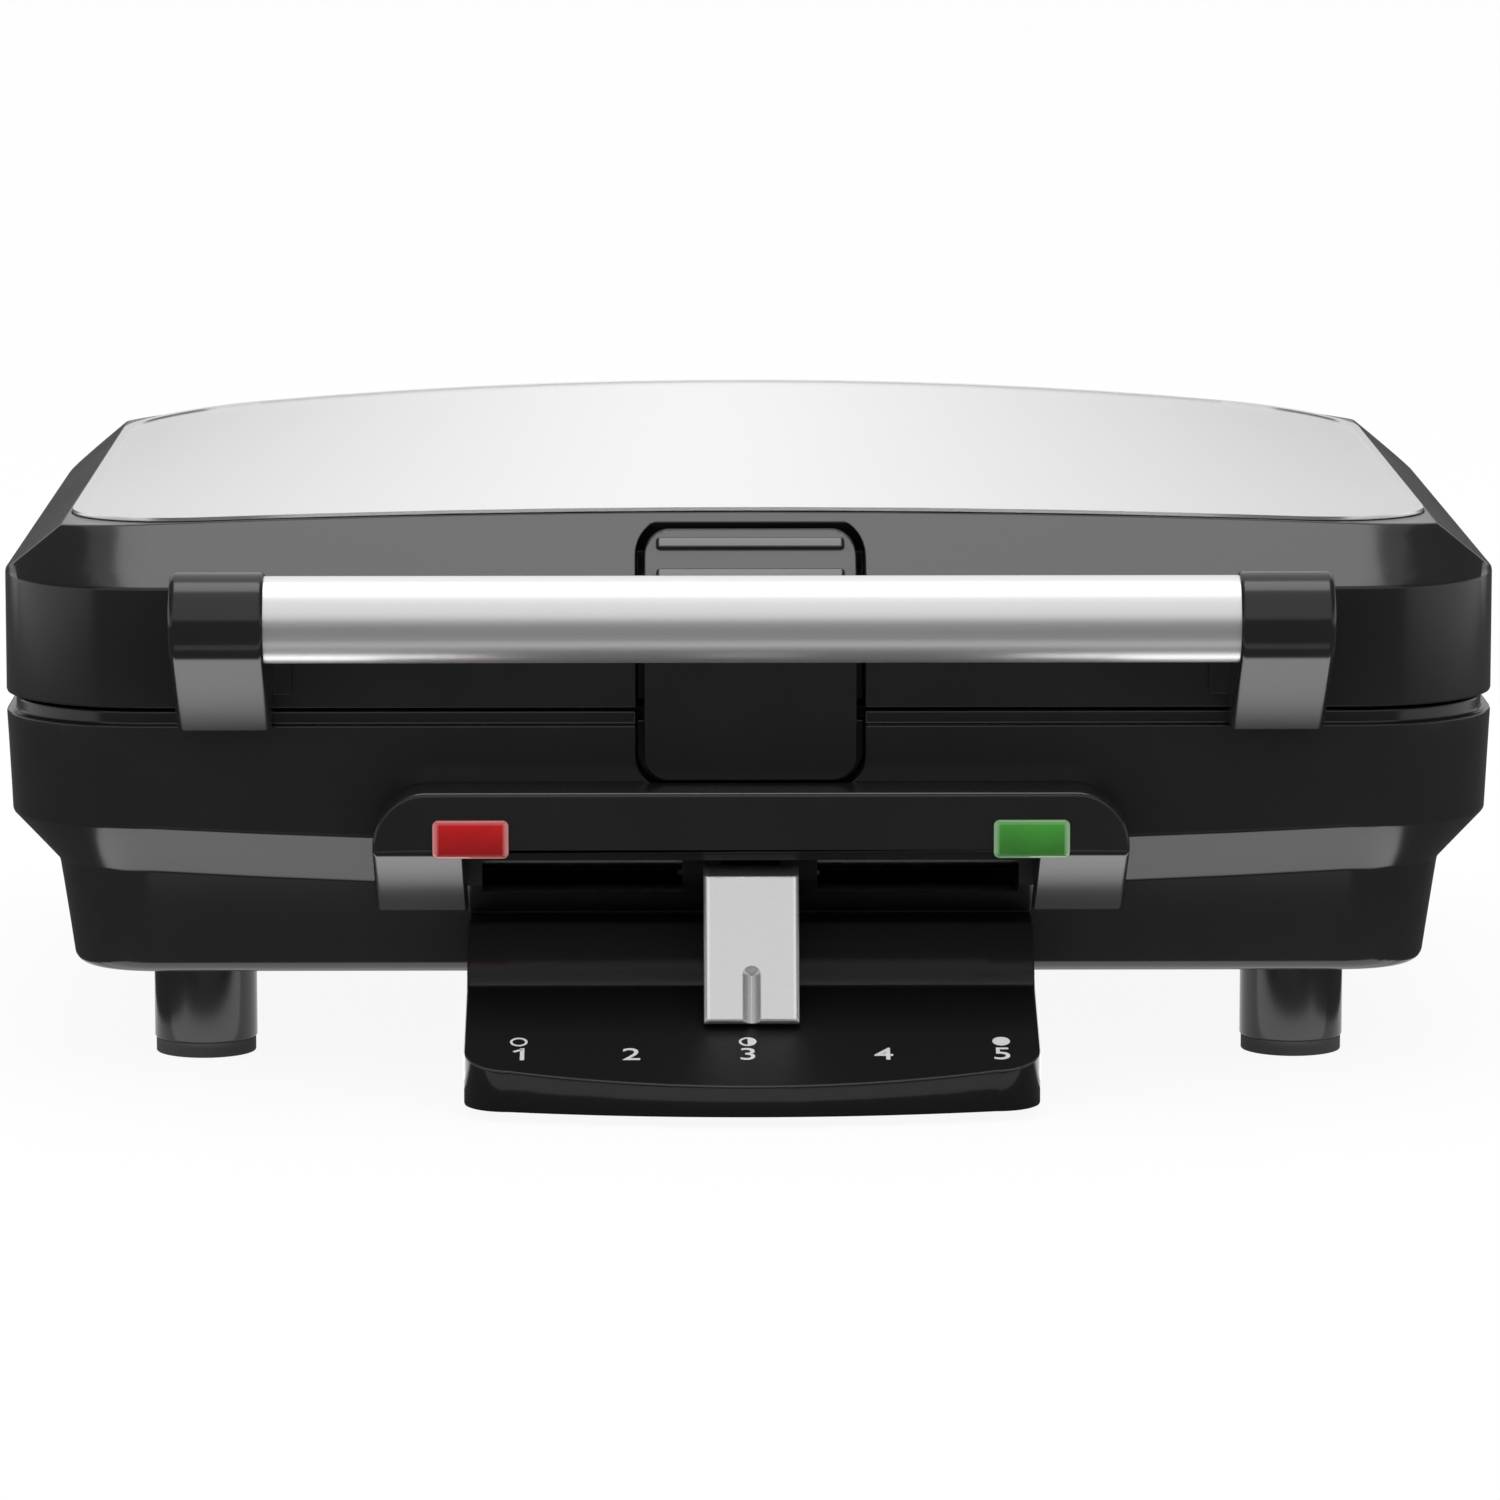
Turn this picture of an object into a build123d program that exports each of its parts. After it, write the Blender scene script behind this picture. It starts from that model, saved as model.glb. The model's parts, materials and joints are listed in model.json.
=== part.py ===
"""Four-slice waffle maker: hinged lid with bar handle and rocker latch, base with browning slider.

Millimetres. X to the right, Y to the back, Z up. While the pieces are made, Y is counted from the
flat front wall and Z from the table; the last step centres the assembly over the origin.
"""
import os
from math import cos, hypot, radians, sin, tan

from build123d import *

# Body seen from above
BODY_W = 308.6
BODY_D = 240.0
CORNER_R = 31.0
WALL = 3.0
OVERCUT = 1.0

# Heights of the base, from the table up
PAD_H = 3.2
FOOT_H = 17.2
LOWER_WALL_H = 21.0
WAIST_H = 12.5
UPPER_WALL_H = 20.1
SEAM_H = 3.6

# Base form
UPPER_DRAFT = 1.0
WAIST_RUN = 0.93
WAIST_BOW = 2.9
LOWER_INSET = 10.8
LOWER_DRAFT = 0.149
BOTTOM_FILLET = 3.0
FLOOR_T = 4.0
LIP_INSET = 2.0
LIP_GAP = 0.8

# Lid form
LID_WALL_H = 24.7
SHOULDER_STEP = 1.4
SLOPE_DEG = 39.0
REAR_SLOPE_DEG = 60.0
SHOULDER_RUN = 12.4
CROWN_FRONT = 2.3
CROWN_REAR = 8.9
ROOF_T = 3.2

# Stainless panel
PANEL_T = 0.7
PANEL_PROUD = 0.5
PANEL_R = 28.0
PANEL_MARGIN = 0.8
PANEL_CLEAR = 0.15
HEM_W = 1.8
HEM_H = 0.35

# Baking plates
PLATE_GAP = 0.4
TIP_GAP = 6.0
PYRAMID_H = 11.0
PYRAMID_BASE = 14.0
PYRAMID_TOP = 9.5
PYRAMID_PITCH = 20.0
PYRAMIDS_X = 5
PYRAMIDS_Y = 4
CELL_BORDER = 2.0
CELL_DRAFT_DEG = 12.0
DIVIDER = 8.0
RIM_W = 12.0
PLATE_T = 3.0
PLATE_R = 12.0
FLANGE_T = 3.0
FLANGE_DROP = 5.0
FLANGE_CLEAR = 1.0
LEDGE_W = 6.0
LEDGE_T = 3.0

# Heat under and over the plates
TRAY_DEPTH = 8.0
TRAY_SHEET = 0.5
TRAY_INSET = 13.0
ELEMENT_D = 6.6
ELEMENT_INSET = 40.0
ELEMENT_BEND_R = 28.0
ELEMENT_CLEAR = 0.1
COLD_PIN_D = 3.4
COLD_PIN_L = 10.0

# Screws, posts and bores
POST_D = 9.0
POST_INSET = 6.0
POST_PITCH = 120.0
PLATE_SCREW_D = 4.0
SMALL_SCREW_D = 3.0
SCREW_GRIP = 9.0
SCREW_CLEAR = 0.1
HEAD_RATIO = 1.9
HEAD_H_RATIO = 0.6
TIP_ROOM = 1.0

# Feet
FOOT_D = 21.5
FOOT_SIDE_INSET = 40.3
FOOT_INSET = 38.0
REAR_FOOT_INSET = 33.0
FOOT_CHAMFER = 0.3
PAD_EDGE = 0.5

# Bottom cover
COVER_HALF_W = 98.0
COVER_INSET = 42.0
COVER_T = 2.0
COVER_LEDGE = 6.0
COVER_CLEAR = 0.3
COVER_R = 8.0
VENT_L = 26.0
VENT_W = 3.0
VENT_PITCH = 9.0
VENTS = 9
VENT_ROW = 46.0

# Handle
BAR_D = 17.5
BAR_WALL = 1.6
BAR_SIDE_INSET = 56.9
BAR_SOCKET = 10.0
BAR_STANDOFF = 28.0
BAR_DROP = 2.8
BRACKET_W = 19.2
BRACKET_WALL = 0.8
BRACKET_FOOT = 9.0
BRACKET_DROP = 3.4
BRACKET_FALL_DEG = 13.5
BRACKET_FILLET = 1.4
PAD_REACH = 3.8
PAD_T = 2.4
PAD_RISE = 3.0

# Latch
LATCH_W = 43.5
LATCH_RISE = 8.7
LATCH_TOP_S = 17.0
LATCH_R = 5.0
LATCH_T = 4.0
LATCH_PROUD = 0.6
LATCH_GROOVE = 1.7
LATCH_PIN_D = 3.0
LATCH_PIN_Y = 7.5
LATCH_PIN_DROP = 5.3
EAR_R = 3.5
EAR_T = 3.0
EAR_INSET = 3.0
RIB_L = 38.0
RIB_W = 3.1
RIB_H = 0.8
RIB_PITCH = 8.9
RIB_EDGE = 3.6
WELL_DEPTH = 12.5
WELL_SLOPE_DEPTH = 8.5
WELL_WALL = 2.8
CATCH_W = 30.0
CATCH_REACH = 2.6
CATCH_H = 3.0
HOOK_H = 3.4
HOOK_CLEAR = 0.4
BASE_WELL_DEPTH = 9.0
FIT = 0.05
SPRING_T = 0.4
SPRING_W = 8.0

# Control visor and tongue
VISOR_HALF = 77.0
VISOR_D = 14.0
VISOR_GAP = 0.4
VISOR_R = 11.0
VISOR_FACE_H = 12.8
VISOR_FOOT_DROP = 7.8
VISOR_WALL = 2.4
RECESS_HALF = 58.0
LENS_X = 57.0
LENS_W = 15.5
LENS_H = 7.8
LENS_RISE = 3.3
LENS_PROUD = 1.0
LENS_FLANGE = 1.2
LENS_R = 1.2
LENS_CLEAR = 0.1
LAMP_D = 6.0
LAMP_L = 14.0
CONTROL_SCREW_X = 43.0
CONTROL_SCREW_RISE = 4.5
CONTROL_BOSS_D = 7.0
TONGUE_GAP = 0.3
TONGUE_RISER_D = 10.0
TONGUE_STEP = 1.1
TONGUE_REACH = 50.0
TONGUE_BOW = 6.0
TONGUE_R = 9.0
TONGUE_FRONT_Z = 8.4
TONGUE_FLOOR_Z = 2.0
TONGUE_WALL = 2.5
TONGUE_SCREW_X = 40.0
TONGUE_SCREW_RISE = 7.6

# Browning slider and thermostat
KNOB_W = 19.4
KNOB_TOP_Y = -14.0
KNOB_CLEAR = 0.65
KNOB_LOW_Y = -28.5
KNOB_T = 6.5
KNOB_GAP = 0.6
KNOB_FILLET = 1.0
POINTER_W = 3.6
POINTER_L = 11.5
POINTER_DEPTH = 1.4
TRAVEL = 48.0
NECK_W = 12.0
NECK_H = 5.0
NECK_RISE = 1.2
NECK_CLEAR = 1.0
RAIL_D = 4.0
RAIL_Y = 23.0
RAIL_POST_T = 5.0
RAIL_POST_GAP = 4.0
CARRIER_HALF = 14.0
CARRIER_HALF_D = 5.0
CARRIER_H = 10.0
RAMP_HALF = 58.0
RAMP_RATIO = 0.05
RAMP_T = 6.5
RAMP_H = 6.0
PLUNGER_D = 5.0
PLUNGER_L = 18.0
PLUNGER_CLEAR = 0.3
THERMOSTAT_W = 30.0
THERMOSTAT_L = 28.0
THERMOSTAT_GAP = 8.0
THERMOSTAT_H = 14.0
STRAP_T = 1.0
STRAP_OVERHANG = 9.0

# Electrical parts
FUSE_D = 4.0
FUSE_L = 14.0
FUSE_LEAD_D = 1.2
FUSE_LEAD_L = 8.0
FUSE_X = 45.0
FUSE_Y = 120.0
BLOCK_W = 40.0
BLOCK_L = 14.0
BLOCK_H = 12.0
BLOCK_POLES = 3
BLOCK_HOLE_D = 5.0
BLOCK_HOLE_DEPTH = 4.0
GLAND_X = 60.0
GLAND_RISE = 12.6
GLAND_D = 12.0
GLAND_FLANGE_D = 18.0
GLAND_FLANGE_T = 3.0
GLAND_BORE = 7.4
GLAND_INNER = 6.0

# Hinges
HINGE_X = 95.0
HINGE_OFFSET = 10.0
HINGE_PIN_D = 5.0
KNUCKLE_R = 6.0
ARM_HALF = 7.7
CHEEK_T = 4.0
CHEEK_GAP = 0.3
HINGE_PLATE_T = 3.0
HINGE_PLATE_H = 19.0
ARM_PLATE_H = 21.0
PIN_HEAD_T = 1.2
PIN_HEAD_R = 3.6

# Heights and places worked out from the sizes above
HALF_W = BODY_W / 2
FOOT_X = HALF_W - FOOT_SIDE_INSET
BAR_HALF = HALF_W - BAR_SIDE_INSET
SLOPE = tan(radians(SLOPE_DEG))
REAR_SLOPE = tan(radians(REAR_SLOPE_DEG))
Z_BOTTOM = PAD_H + FOOT_H
Z_FLOOR = Z_BOTTOM + FLOOR_T
Z_LOWER = Z_BOTTOM + LOWER_WALL_H
Z_WAIST = Z_LOWER + WAIST_H
Z_BASE_TOP = Z_WAIST + UPPER_WALL_H
Z_LID_BOTTOM = Z_BASE_TOP + SEAM_H
Z_LIP_TOP = Z_LID_BOTTOM - LIP_GAP
Z_PART = (Z_BASE_TOP + Z_LID_BOTTOM) / 2
Z_CREASE = Z_LID_BOTTOM + LID_WALL_H
Z_SHOULDER = Z_CREASE + SHOULDER_STEP
Z_CROWN = Z_SHOULDER + SHOULDER_RUN * SLOPE
CROWN_HALF = HALF_W - SHOULDER_RUN
Z_LIMIT = Z_CROWN + CROWN_REAR + 2 * PANEL_T
Z_CAVITY = Z_CREASE + WALL * SLOPE - ROOF_T
ROOF_INSET = SHOULDER_RUN + ROOF_T
BASE_INSET = WALL + UPPER_DRAFT

CELL_W = PYRAMIDS_X * PYRAMID_PITCH + 2 * CELL_BORDER
CELL_D = PYRAMIDS_Y * PYRAMID_PITCH + 2 * CELL_BORDER
PLATE_HALF_W = CELL_W + DIVIDER / 2 + RIM_W
PLATE_HALF_D = CELL_D + DIVIDER / 2 + RIM_W
MID_Y = BODY_D / 2
TIP_DROP = (TIP_GAP - PLATE_GAP) / 2
PLATE_H = TIP_DROP + PYRAMID_H + PLATE_T
Z_LOWER_RIM = Z_PART - PLATE_GAP / 2
Z_UPPER_RIM = Z_PART + PLATE_GAP / 2
Z_LOWER_BACK = Z_LOWER_RIM - PLATE_H
Z_UPPER_BACK = Z_UPPER_RIM + PLATE_H
Z_LOWER_LEDGE = Z_LOWER_RIM - FLANGE_DROP - FLANGE_T
Z_UPPER_LEDGE = Z_UPPER_RIM + FLANGE_DROP + FLANGE_T
Z_TRAY = Z_LOWER_BACK - TRAY_DEPTH
FLANGE_INSET = BASE_INSET + FLANGE_CLEAR
POST_X = PLATE_HALF_W - POST_INSET
TRAY_HALF_W = PLATE_HALF_W - TRAY_INSET
TRAY_HALF_D = PLATE_HALF_D - TRAY_INSET

BAR_Z = Z_CREASE - BAR_DROP
LATCH_HALF = LATCH_W / 2
LATCH_BACK = LATCH_T - LATCH_PROUD
LATCH_BOTTOM = Z_WAIST + LATCH_RISE
LATCH_TOP = Z_CREASE + LATCH_TOP_S * sin(radians(SLOPE_DEG))
LATCH_PIN_Z = Z_CREASE - LATCH_PIN_DROP
WELL_HALF = LATCH_HALF + LATCH_GROOVE
WELL_BLOCK_HALF = WELL_HALF + WELL_WALL

VISOR_TOP = LATCH_BOTTOM - VISOR_GAP
VISOR_FOOT_Z = Z_LOWER - VISOR_FOOT_DROP
Z_VISOR_FACE = VISOR_TOP - VISOR_FACE_H
LENS_Z = Z_VISOR_FACE + LENS_RISE
CONTROL_SCREW_Z = Z_WAIST + CONTROL_SCREW_RISE
TONGUE_TOP = VISOR_FOOT_Z - TONGUE_GAP
TONGUE_STEP_Z = Z_BOTTOM + TONGUE_STEP
TONGUE_SCREW_Z = Z_BOTTOM + TONGUE_SCREW_RISE
TONGUE_FALL = (TONGUE_STEP_Z - TONGUE_FRONT_Z) / (TONGUE_REACH - TONGUE_RISER_D)

NECK_Z = Z_LOWER + NECK_RISE
KNOB_TOP_Z = NECK_Z + NECK_H / 2
KNOB_LOW_Z = TONGUE_STEP_Z + TONGUE_FALL * (KNOB_LOW_Y + TONGUE_RISER_D) + KNOB_CLEAR
KNOB_L = hypot(KNOB_LOW_Y - KNOB_TOP_Y, KNOB_LOW_Z - KNOB_TOP_Z)
KNOB_UNIT_Y = (KNOB_LOW_Y - KNOB_TOP_Y) / KNOB_L
KNOB_UNIT_Z = (KNOB_LOW_Z - KNOB_TOP_Z) / KNOB_L
SLOT_REACH = TRAVEL + NECK_W / 2 + NECK_CLEAR
SLOT_HALF = NECK_H / 2 + NECK_CLEAR
CARRIER_Y = RAIL_Y + CARRIER_HALF_D
RAMP_Y = CARRIER_Y + RAMP_T
THERMOSTAT_Y = RAMP_Y + RAMP_RATIO * RAMP_HALF + THERMOSTAT_GAP
GLAND_Z = Z_BOTTOM + GLAND_RISE

PLATE_BORE = PLATE_SCREW_D + 2 * SCREW_CLEAR
PLATE_HEAD_BORE = PLATE_SCREW_D * HEAD_RATIO + 4 * SCREW_CLEAR
SMALL_BORE = SMALL_SCREW_D + 2 * SCREW_CLEAR
HINGE_Y = BODY_D + HINGE_OFFSET
HINGE_Z = Z_PART
SIDES = {"left": -1, "right": 1}
ENDS = {"front": FOOT_INSET, "rear": BODY_D - REAR_FOOT_INSET}

FRONT_MOST = -TONGUE_REACH
REAR_MOST = HINGE_Y + KNUCKLE_R
CENTRE_Y = (FRONT_MOST + REAR_MOST) / 2


# Shape helpers
def box(x0, x1, y0, y1, z0, z1):
    """Box between two corners."""
    return Pos((x0 + x1) / 2, (y0 + y1) / 2, (z0 + z1) / 2) * Box(x1 - x0, y1 - y0, z1 - z0)


def rod_x(diameter, x0, x1, y, z):
    """Round rod along X."""
    return Pos((x0 + x1) / 2, y, z) * Rot(0, 90, 0) * Cylinder(diameter / 2, x1 - x0)


def rod_y(diameter, y0, y1, x, z):
    """Round rod along Y."""
    return Pos(x, (y0 + y1) / 2, z) * Rot(90, 0, 0) * Cylinder(diameter / 2, y1 - y0)


def rod_z(diameter, z0, z1, x, y):
    """Round rod along Z."""
    return Pos(x, y, (z0 + z1) / 2) * Cylinder(diameter / 2, z1 - z0)


def plan(inset, z, bow=0.0):
    """Body outline at height z, drawn in by inset, with an optional outward bow of the front edge."""
    half = HALF_W - inset
    rear = BODY_D - inset
    radius = CORNER_R - inset
    if not bow:
        return Pos(0, MID_Y, z) * RectangleRounded(2 * half, BODY_D - 2 * inset, radius)
    flat = half - radius
    edges = [
        ThreePointArc((-flat, inset), (0, inset - bow), (flat, inset)),
        RadiusArc((flat, inset), (half, inset + radius), -radius),
        Line((half, inset + radius), (half, rear - radius)),
        RadiusArc((half, rear - radius), (flat, rear), -radius),
        Line((flat, rear), (-flat, rear)),
        RadiusArc((-flat, rear), (-half, rear - radius), -radius),
        Line((-half, rear - radius), (-half, inset + radius)),
        RadiusArc((-half, inset + radius), (-flat, inset), -radius),
    ]
    return Pos(0, 0, z) * make_face(edges)


def prism(inset, z0, z1):
    """Upright prism of the body outline, drawn in by inset."""
    return extrude(plan(inset, z0), z1 - z0)


def side_profile(points, x0, x1):
    """Polygon in the YZ plane, extruded from x0 to x1."""
    face = Pos(x0, 0, 0) * (Plane.YZ * make_face(Polyline(*points, close=True)))
    return extrude(face, x1 - x0, dir=(1, 0, 0))


def front_profile(sketch, y0, y1):
    """Sketch in the XZ plane, extruded from y0 to y1."""
    face = Pos(0, y0, 0) * (Plane.XZ * sketch)
    return extrude(face, y1 - y0, dir=(0, 1, 0))


def screw(diameter, length):
    """Pan-head screw along +Z, with its head under the origin and its shank above."""
    head = Pos(0, 0, -diameter * HEAD_H_RATIO / 2) * Cylinder(
        diameter * HEAD_RATIO / 2, diameter * HEAD_H_RATIO
    )
    shank = Pos(0, 0, length / 2) * Cylinder(diameter / 2, length)
    return head + shank


def pattern(piece, places):
    """Separate copies of a piece at the given places, as one group."""
    return Compound([Pos(*place) * piece.solid() for place in places])


def slope_point(along, inward):
    """Point on the lid's front slope: distance up from the crease, depth below the surface."""
    angle = radians(SLOPE_DEG)
    y = along * cos(angle) + inward * sin(angle)
    z = Z_CREASE + along * sin(angle) - inward * cos(angle)
    return (y, z)


def crease_point(inward):
    """Corner of a line that runs at a constant depth below the front wall and the front slope."""
    angle = radians(SLOPE_DEG)
    return (inward, Z_CREASE + inward * (tan(angle) - 1 / cos(angle)))


def waist_inset(z):
    """Inset of the sloping waist at height z."""
    return WAIST_RUN * (Z_WAIST - z)


def lower_inset(z):
    """Inset of the drafted lower wall at height z."""
    return LOWER_INSET + LOWER_DRAFT * (Z_LOWER - z)


# Outer forms of base and lid
def make_base_outer():
    """Upper wall, waist that slopes inwards, and drafted lower wall with a rounded bottom."""
    waist_low = Z_LOWER - WAIST_H / 2
    drop = (Z_BASE_TOP - waist_low) / UPPER_WALL_H
    upper = loft([plan(UPPER_DRAFT * drop, waist_low), plan(0, Z_BASE_TOP)], ruled=True)
    waist_top = Z_BASE_TOP + OVERCUT
    waist = loft(
        [
            plan(waist_inset(waist_low), waist_low, WAIST_BOW),
            plan(waist_inset(waist_top), waist_top, WAIST_BOW),
        ],
        ruled=True,
    )
    lower_top = Z_LOWER + WAIST_H / 2
    lower = loft(
        [plan(lower_inset(Z_BOTTOM), Z_BOTTOM), plan(lower_inset(lower_top), lower_top)], ruled=True
    )
    lower = fillet(lower.edges().group_by(Axis.Z)[0], BOTTOM_FILLET)
    return (upper & waist) + lower


def make_crown(lift):
    """Solid under the crowned top: shoulders that slope down, and a crown that grows to the rear."""
    reach = SHOULDER_RUN
    low = Z_LID_BOTTOM - SEAM_H
    sections = []
    for y, rise in ((0, CROWN_FRONT), (BODY_D, CROWN_REAR)):
        top = Z_CROWN + lift
        outer = top - (SHOULDER_RUN + reach) * SLOPE
        edges = [
            Line((-HALF_W - reach, low), (HALF_W + reach, low)),
            Line((HALF_W + reach, low), (HALF_W + reach, outer)),
            Line((HALF_W + reach, outer), (CROWN_HALF, top)),
            ThreePointArc((CROWN_HALF, top), (0, top + rise), (-CROWN_HALF, top)),
            Line((-CROWN_HALF, top), (-HALF_W - reach, outer)),
            Line((-HALF_W - reach, outer), (-HALF_W - reach, low)),
        ]
        sections.append(Pos(0, y, 0) * (Plane.XZ * make_face(edges)))
    return loft(sections, ruled=True)


def make_lid_outer():
    """Upright walls, slopes at the front and rear, and the crowned top between the shoulders."""
    front = (Z_LIMIT - Z_CREASE) / SLOPE
    rear = BODY_D - (Z_LIMIT - Z_CREASE) / REAR_SLOPE
    top = Pos(0, (front + rear) / 2, Z_LIMIT) * RectangleRounded(BODY_W, rear - front, CORNER_R)
    slopes = loft([plan(0, Z_CREASE), top], ruled=True)
    return (prism(0, Z_LID_BOTTOM, Z_CREASE) + slopes) & make_crown(-PANEL_PROUD)


def crown_height(x, y):
    """Height of the panel's surface."""
    rise = CROWN_FRONT + (CROWN_REAR - CROWN_FRONT) * y / BODY_D
    return Z_CROWN + rise * (1 - (x / CROWN_HALF) ** 2)


def slope_run(x, y, slope):
    """Distance from the front or rear wall at which the slope meets the crown."""
    return (crown_height(x, y) - Z_CREASE) / slope + PANEL_MARGIN


def panel_prism(grow):
    """Upright prism over the panel's outline, whose front and rear edges follow the lid's slopes."""
    half = CROWN_HALF - PANEL_MARGIN + grow
    flat = half - PANEL_R
    front_end = slope_run(flat, 0, SLOPE) - grow
    front_mid = slope_run(0, 0, SLOPE) - grow
    rear_end = BODY_D - slope_run(flat, BODY_D, REAR_SLOPE) + grow
    rear_mid = BODY_D - slope_run(0, BODY_D, REAR_SLOPE) + grow
    edges = [
        ThreePointArc((-flat, front_end), (0, front_mid), (flat, front_end)),
        RadiusArc((flat, front_end), (half, front_end + PANEL_R), -PANEL_R),
        Line((half, front_end + PANEL_R), (half, rear_end - PANEL_R)),
        RadiusArc((half, rear_end - PANEL_R), (flat, rear_end), -PANEL_R),
        ThreePointArc((flat, rear_end), (0, rear_mid), (-flat, rear_end)),
        RadiusArc((-flat, rear_end), (-half, rear_end - PANEL_R), -PANEL_R),
        Line((-half, rear_end - PANEL_R), (-half, front_end + PANEL_R)),
        RadiusArc((-half, front_end + PANEL_R), (-flat, front_end), -PANEL_R),
    ]
    low = Z_CREASE
    return extrude(Pos(0, 0, low) * make_face(edges), Z_LIMIT + HEM_H - low)


def post_places(z):
    """Four places of the plate screws at height z."""
    return [(side * POST_X, MID_Y + end * POST_PITCH / 2, z) for side in (-1, 1) for end in (-1, 1)]


# Latch and its wells
def latch_outline(grow):
    """Rounded outline of the latch, seen from the front."""
    low = LATCH_BOTTOM - grow
    high = LATCH_TOP + grow
    return Pos(0, (low + high) / 2) * RectangleRounded(LATCH_W + 2 * grow, high - low, LATCH_R + grow)


def make_lid_well():
    """Room for the latch in the lid's front wall and slope."""
    top = LATCH_TOP_S + LATCH_GROOVE
    points = [
        (-WELL_DEPTH, Z_BASE_TOP),
        (WELL_DEPTH, Z_BASE_TOP),
        (WELL_DEPTH, crease_point(WELL_SLOPE_DEPTH)[1]),
        slope_point(top, WELL_SLOPE_DEPTH),
        slope_point(top, -WELL_SLOPE_DEPTH),
        (-WELL_DEPTH, Z_LIMIT),
    ]
    room = side_profile(points, -WELL_HALF, WELL_HALF)
    return room & front_profile(latch_outline(LATCH_GROOVE), -WELL_DEPTH, BODY_D / 4)


def make_lid_well_block():
    """Walls behind and beside the latch's room."""
    depth = WELL_DEPTH + WELL_WALL
    deep = slope_point(LATCH_TOP_S + LATCH_GROOVE, WELL_SLOPE_DEPTH)[0] + WELL_WALL
    points = [
        (WALL / 2, Z_LID_BOTTOM),
        (depth, Z_LID_BOTTOM),
        (depth, Z_CREASE - WELL_WALL),
        (deep, Z_CREASE),
        (deep, Z_LIMIT),
        (WALL / 2, Z_LIMIT),
    ]
    return side_profile(points, -WELL_BLOCK_HALF, WELL_BLOCK_HALF)


def make_latch():
    """Rocker plate that follows wall and slope, with ribs, ears for its pin and a hook."""
    points = [
        (-LATCH_PROUD, LATCH_BOTTOM),
        (LATCH_BACK, LATCH_BOTTOM),
        crease_point(LATCH_BACK),
        slope_point(LATCH_TOP_S, LATCH_BACK),
        slope_point(LATCH_TOP_S, -LATCH_PROUD),
        crease_point(-LATCH_PROUD),
    ]
    plate = side_profile(points, -LATCH_HALF, LATCH_HALF)
    plate &= front_profile(latch_outline(0), -WELL_DEPTH, BODY_D / 4)
    for count in range(2):
        along = LATCH_TOP_S - RIB_EDGE - RIB_W / 2 - count * RIB_PITCH
        low = along - RIB_W / 2
        high = along + RIB_W / 2
        height = -LATCH_PROUD - RIB_H
        rib = [
            slope_point(low, 0),
            slope_point(high, 0),
            slope_point(high, height),
            slope_point(low, height),
        ]
        plate += side_profile(rib, -RIB_L / 2, RIB_L / 2)
    for side in (-1, 1):
        inner = side * (LATCH_HALF - EAR_INSET - EAR_T)
        outer = side * (LATCH_HALF - EAR_INSET)
        x0, x1 = sorted((inner, outer))
        ear = rod_x(2 * EAR_R, x0, x1, LATCH_PIN_Y, LATCH_PIN_Z)
        web = box(x0, x1, LATCH_BACK / 2, LATCH_PIN_Y, LATCH_PIN_Z - EAR_R, LATCH_PIN_Z + EAR_R)
        plate += ear + web
    plate -= rod_x(LATCH_PIN_D + 2 * FIT, -LATCH_HALF, LATCH_HALF, LATCH_PIN_Y, LATCH_PIN_Z)
    return plate + box(
        -CATCH_W / 2,
        CATCH_W / 2,
        LATCH_BACK / 2,
        BASE_WELL_DEPTH - CATCH_REACH - HOOK_CLEAR,
        LATCH_BOTTOM + LATCH_GROOVE,
        LATCH_BOTTOM + LATCH_GROOVE + HOOK_H,
    )


def make_latch_pin():
    """Pin across the lid's latch room."""
    return rod_x(LATCH_PIN_D, -WELL_BLOCK_HALF, WELL_BLOCK_HALF, LATCH_PIN_Y, LATCH_PIN_Z)


def make_latch_spring():
    """Leaf spring from the rear of the latch's room to the underside of the thumb slope."""
    foot_low = LATCH_PIN_Z - 2 * LATCH_PIN_DROP
    tip = slope_point(LATCH_TOP_S / 2, LATCH_BACK + HOOK_CLEAR)
    points = [
        (WELL_DEPTH, foot_low),
        (WELL_DEPTH, LATCH_PIN_Z),
        (tip[0] + SPRING_T, tip[1]),
        tip,
        (WELL_DEPTH - SPRING_T, LATCH_PIN_Z),
        (WELL_DEPTH - SPRING_T, foot_low),
    ]
    return side_profile(points, -SPRING_W / 2, SPRING_W / 2)


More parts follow.
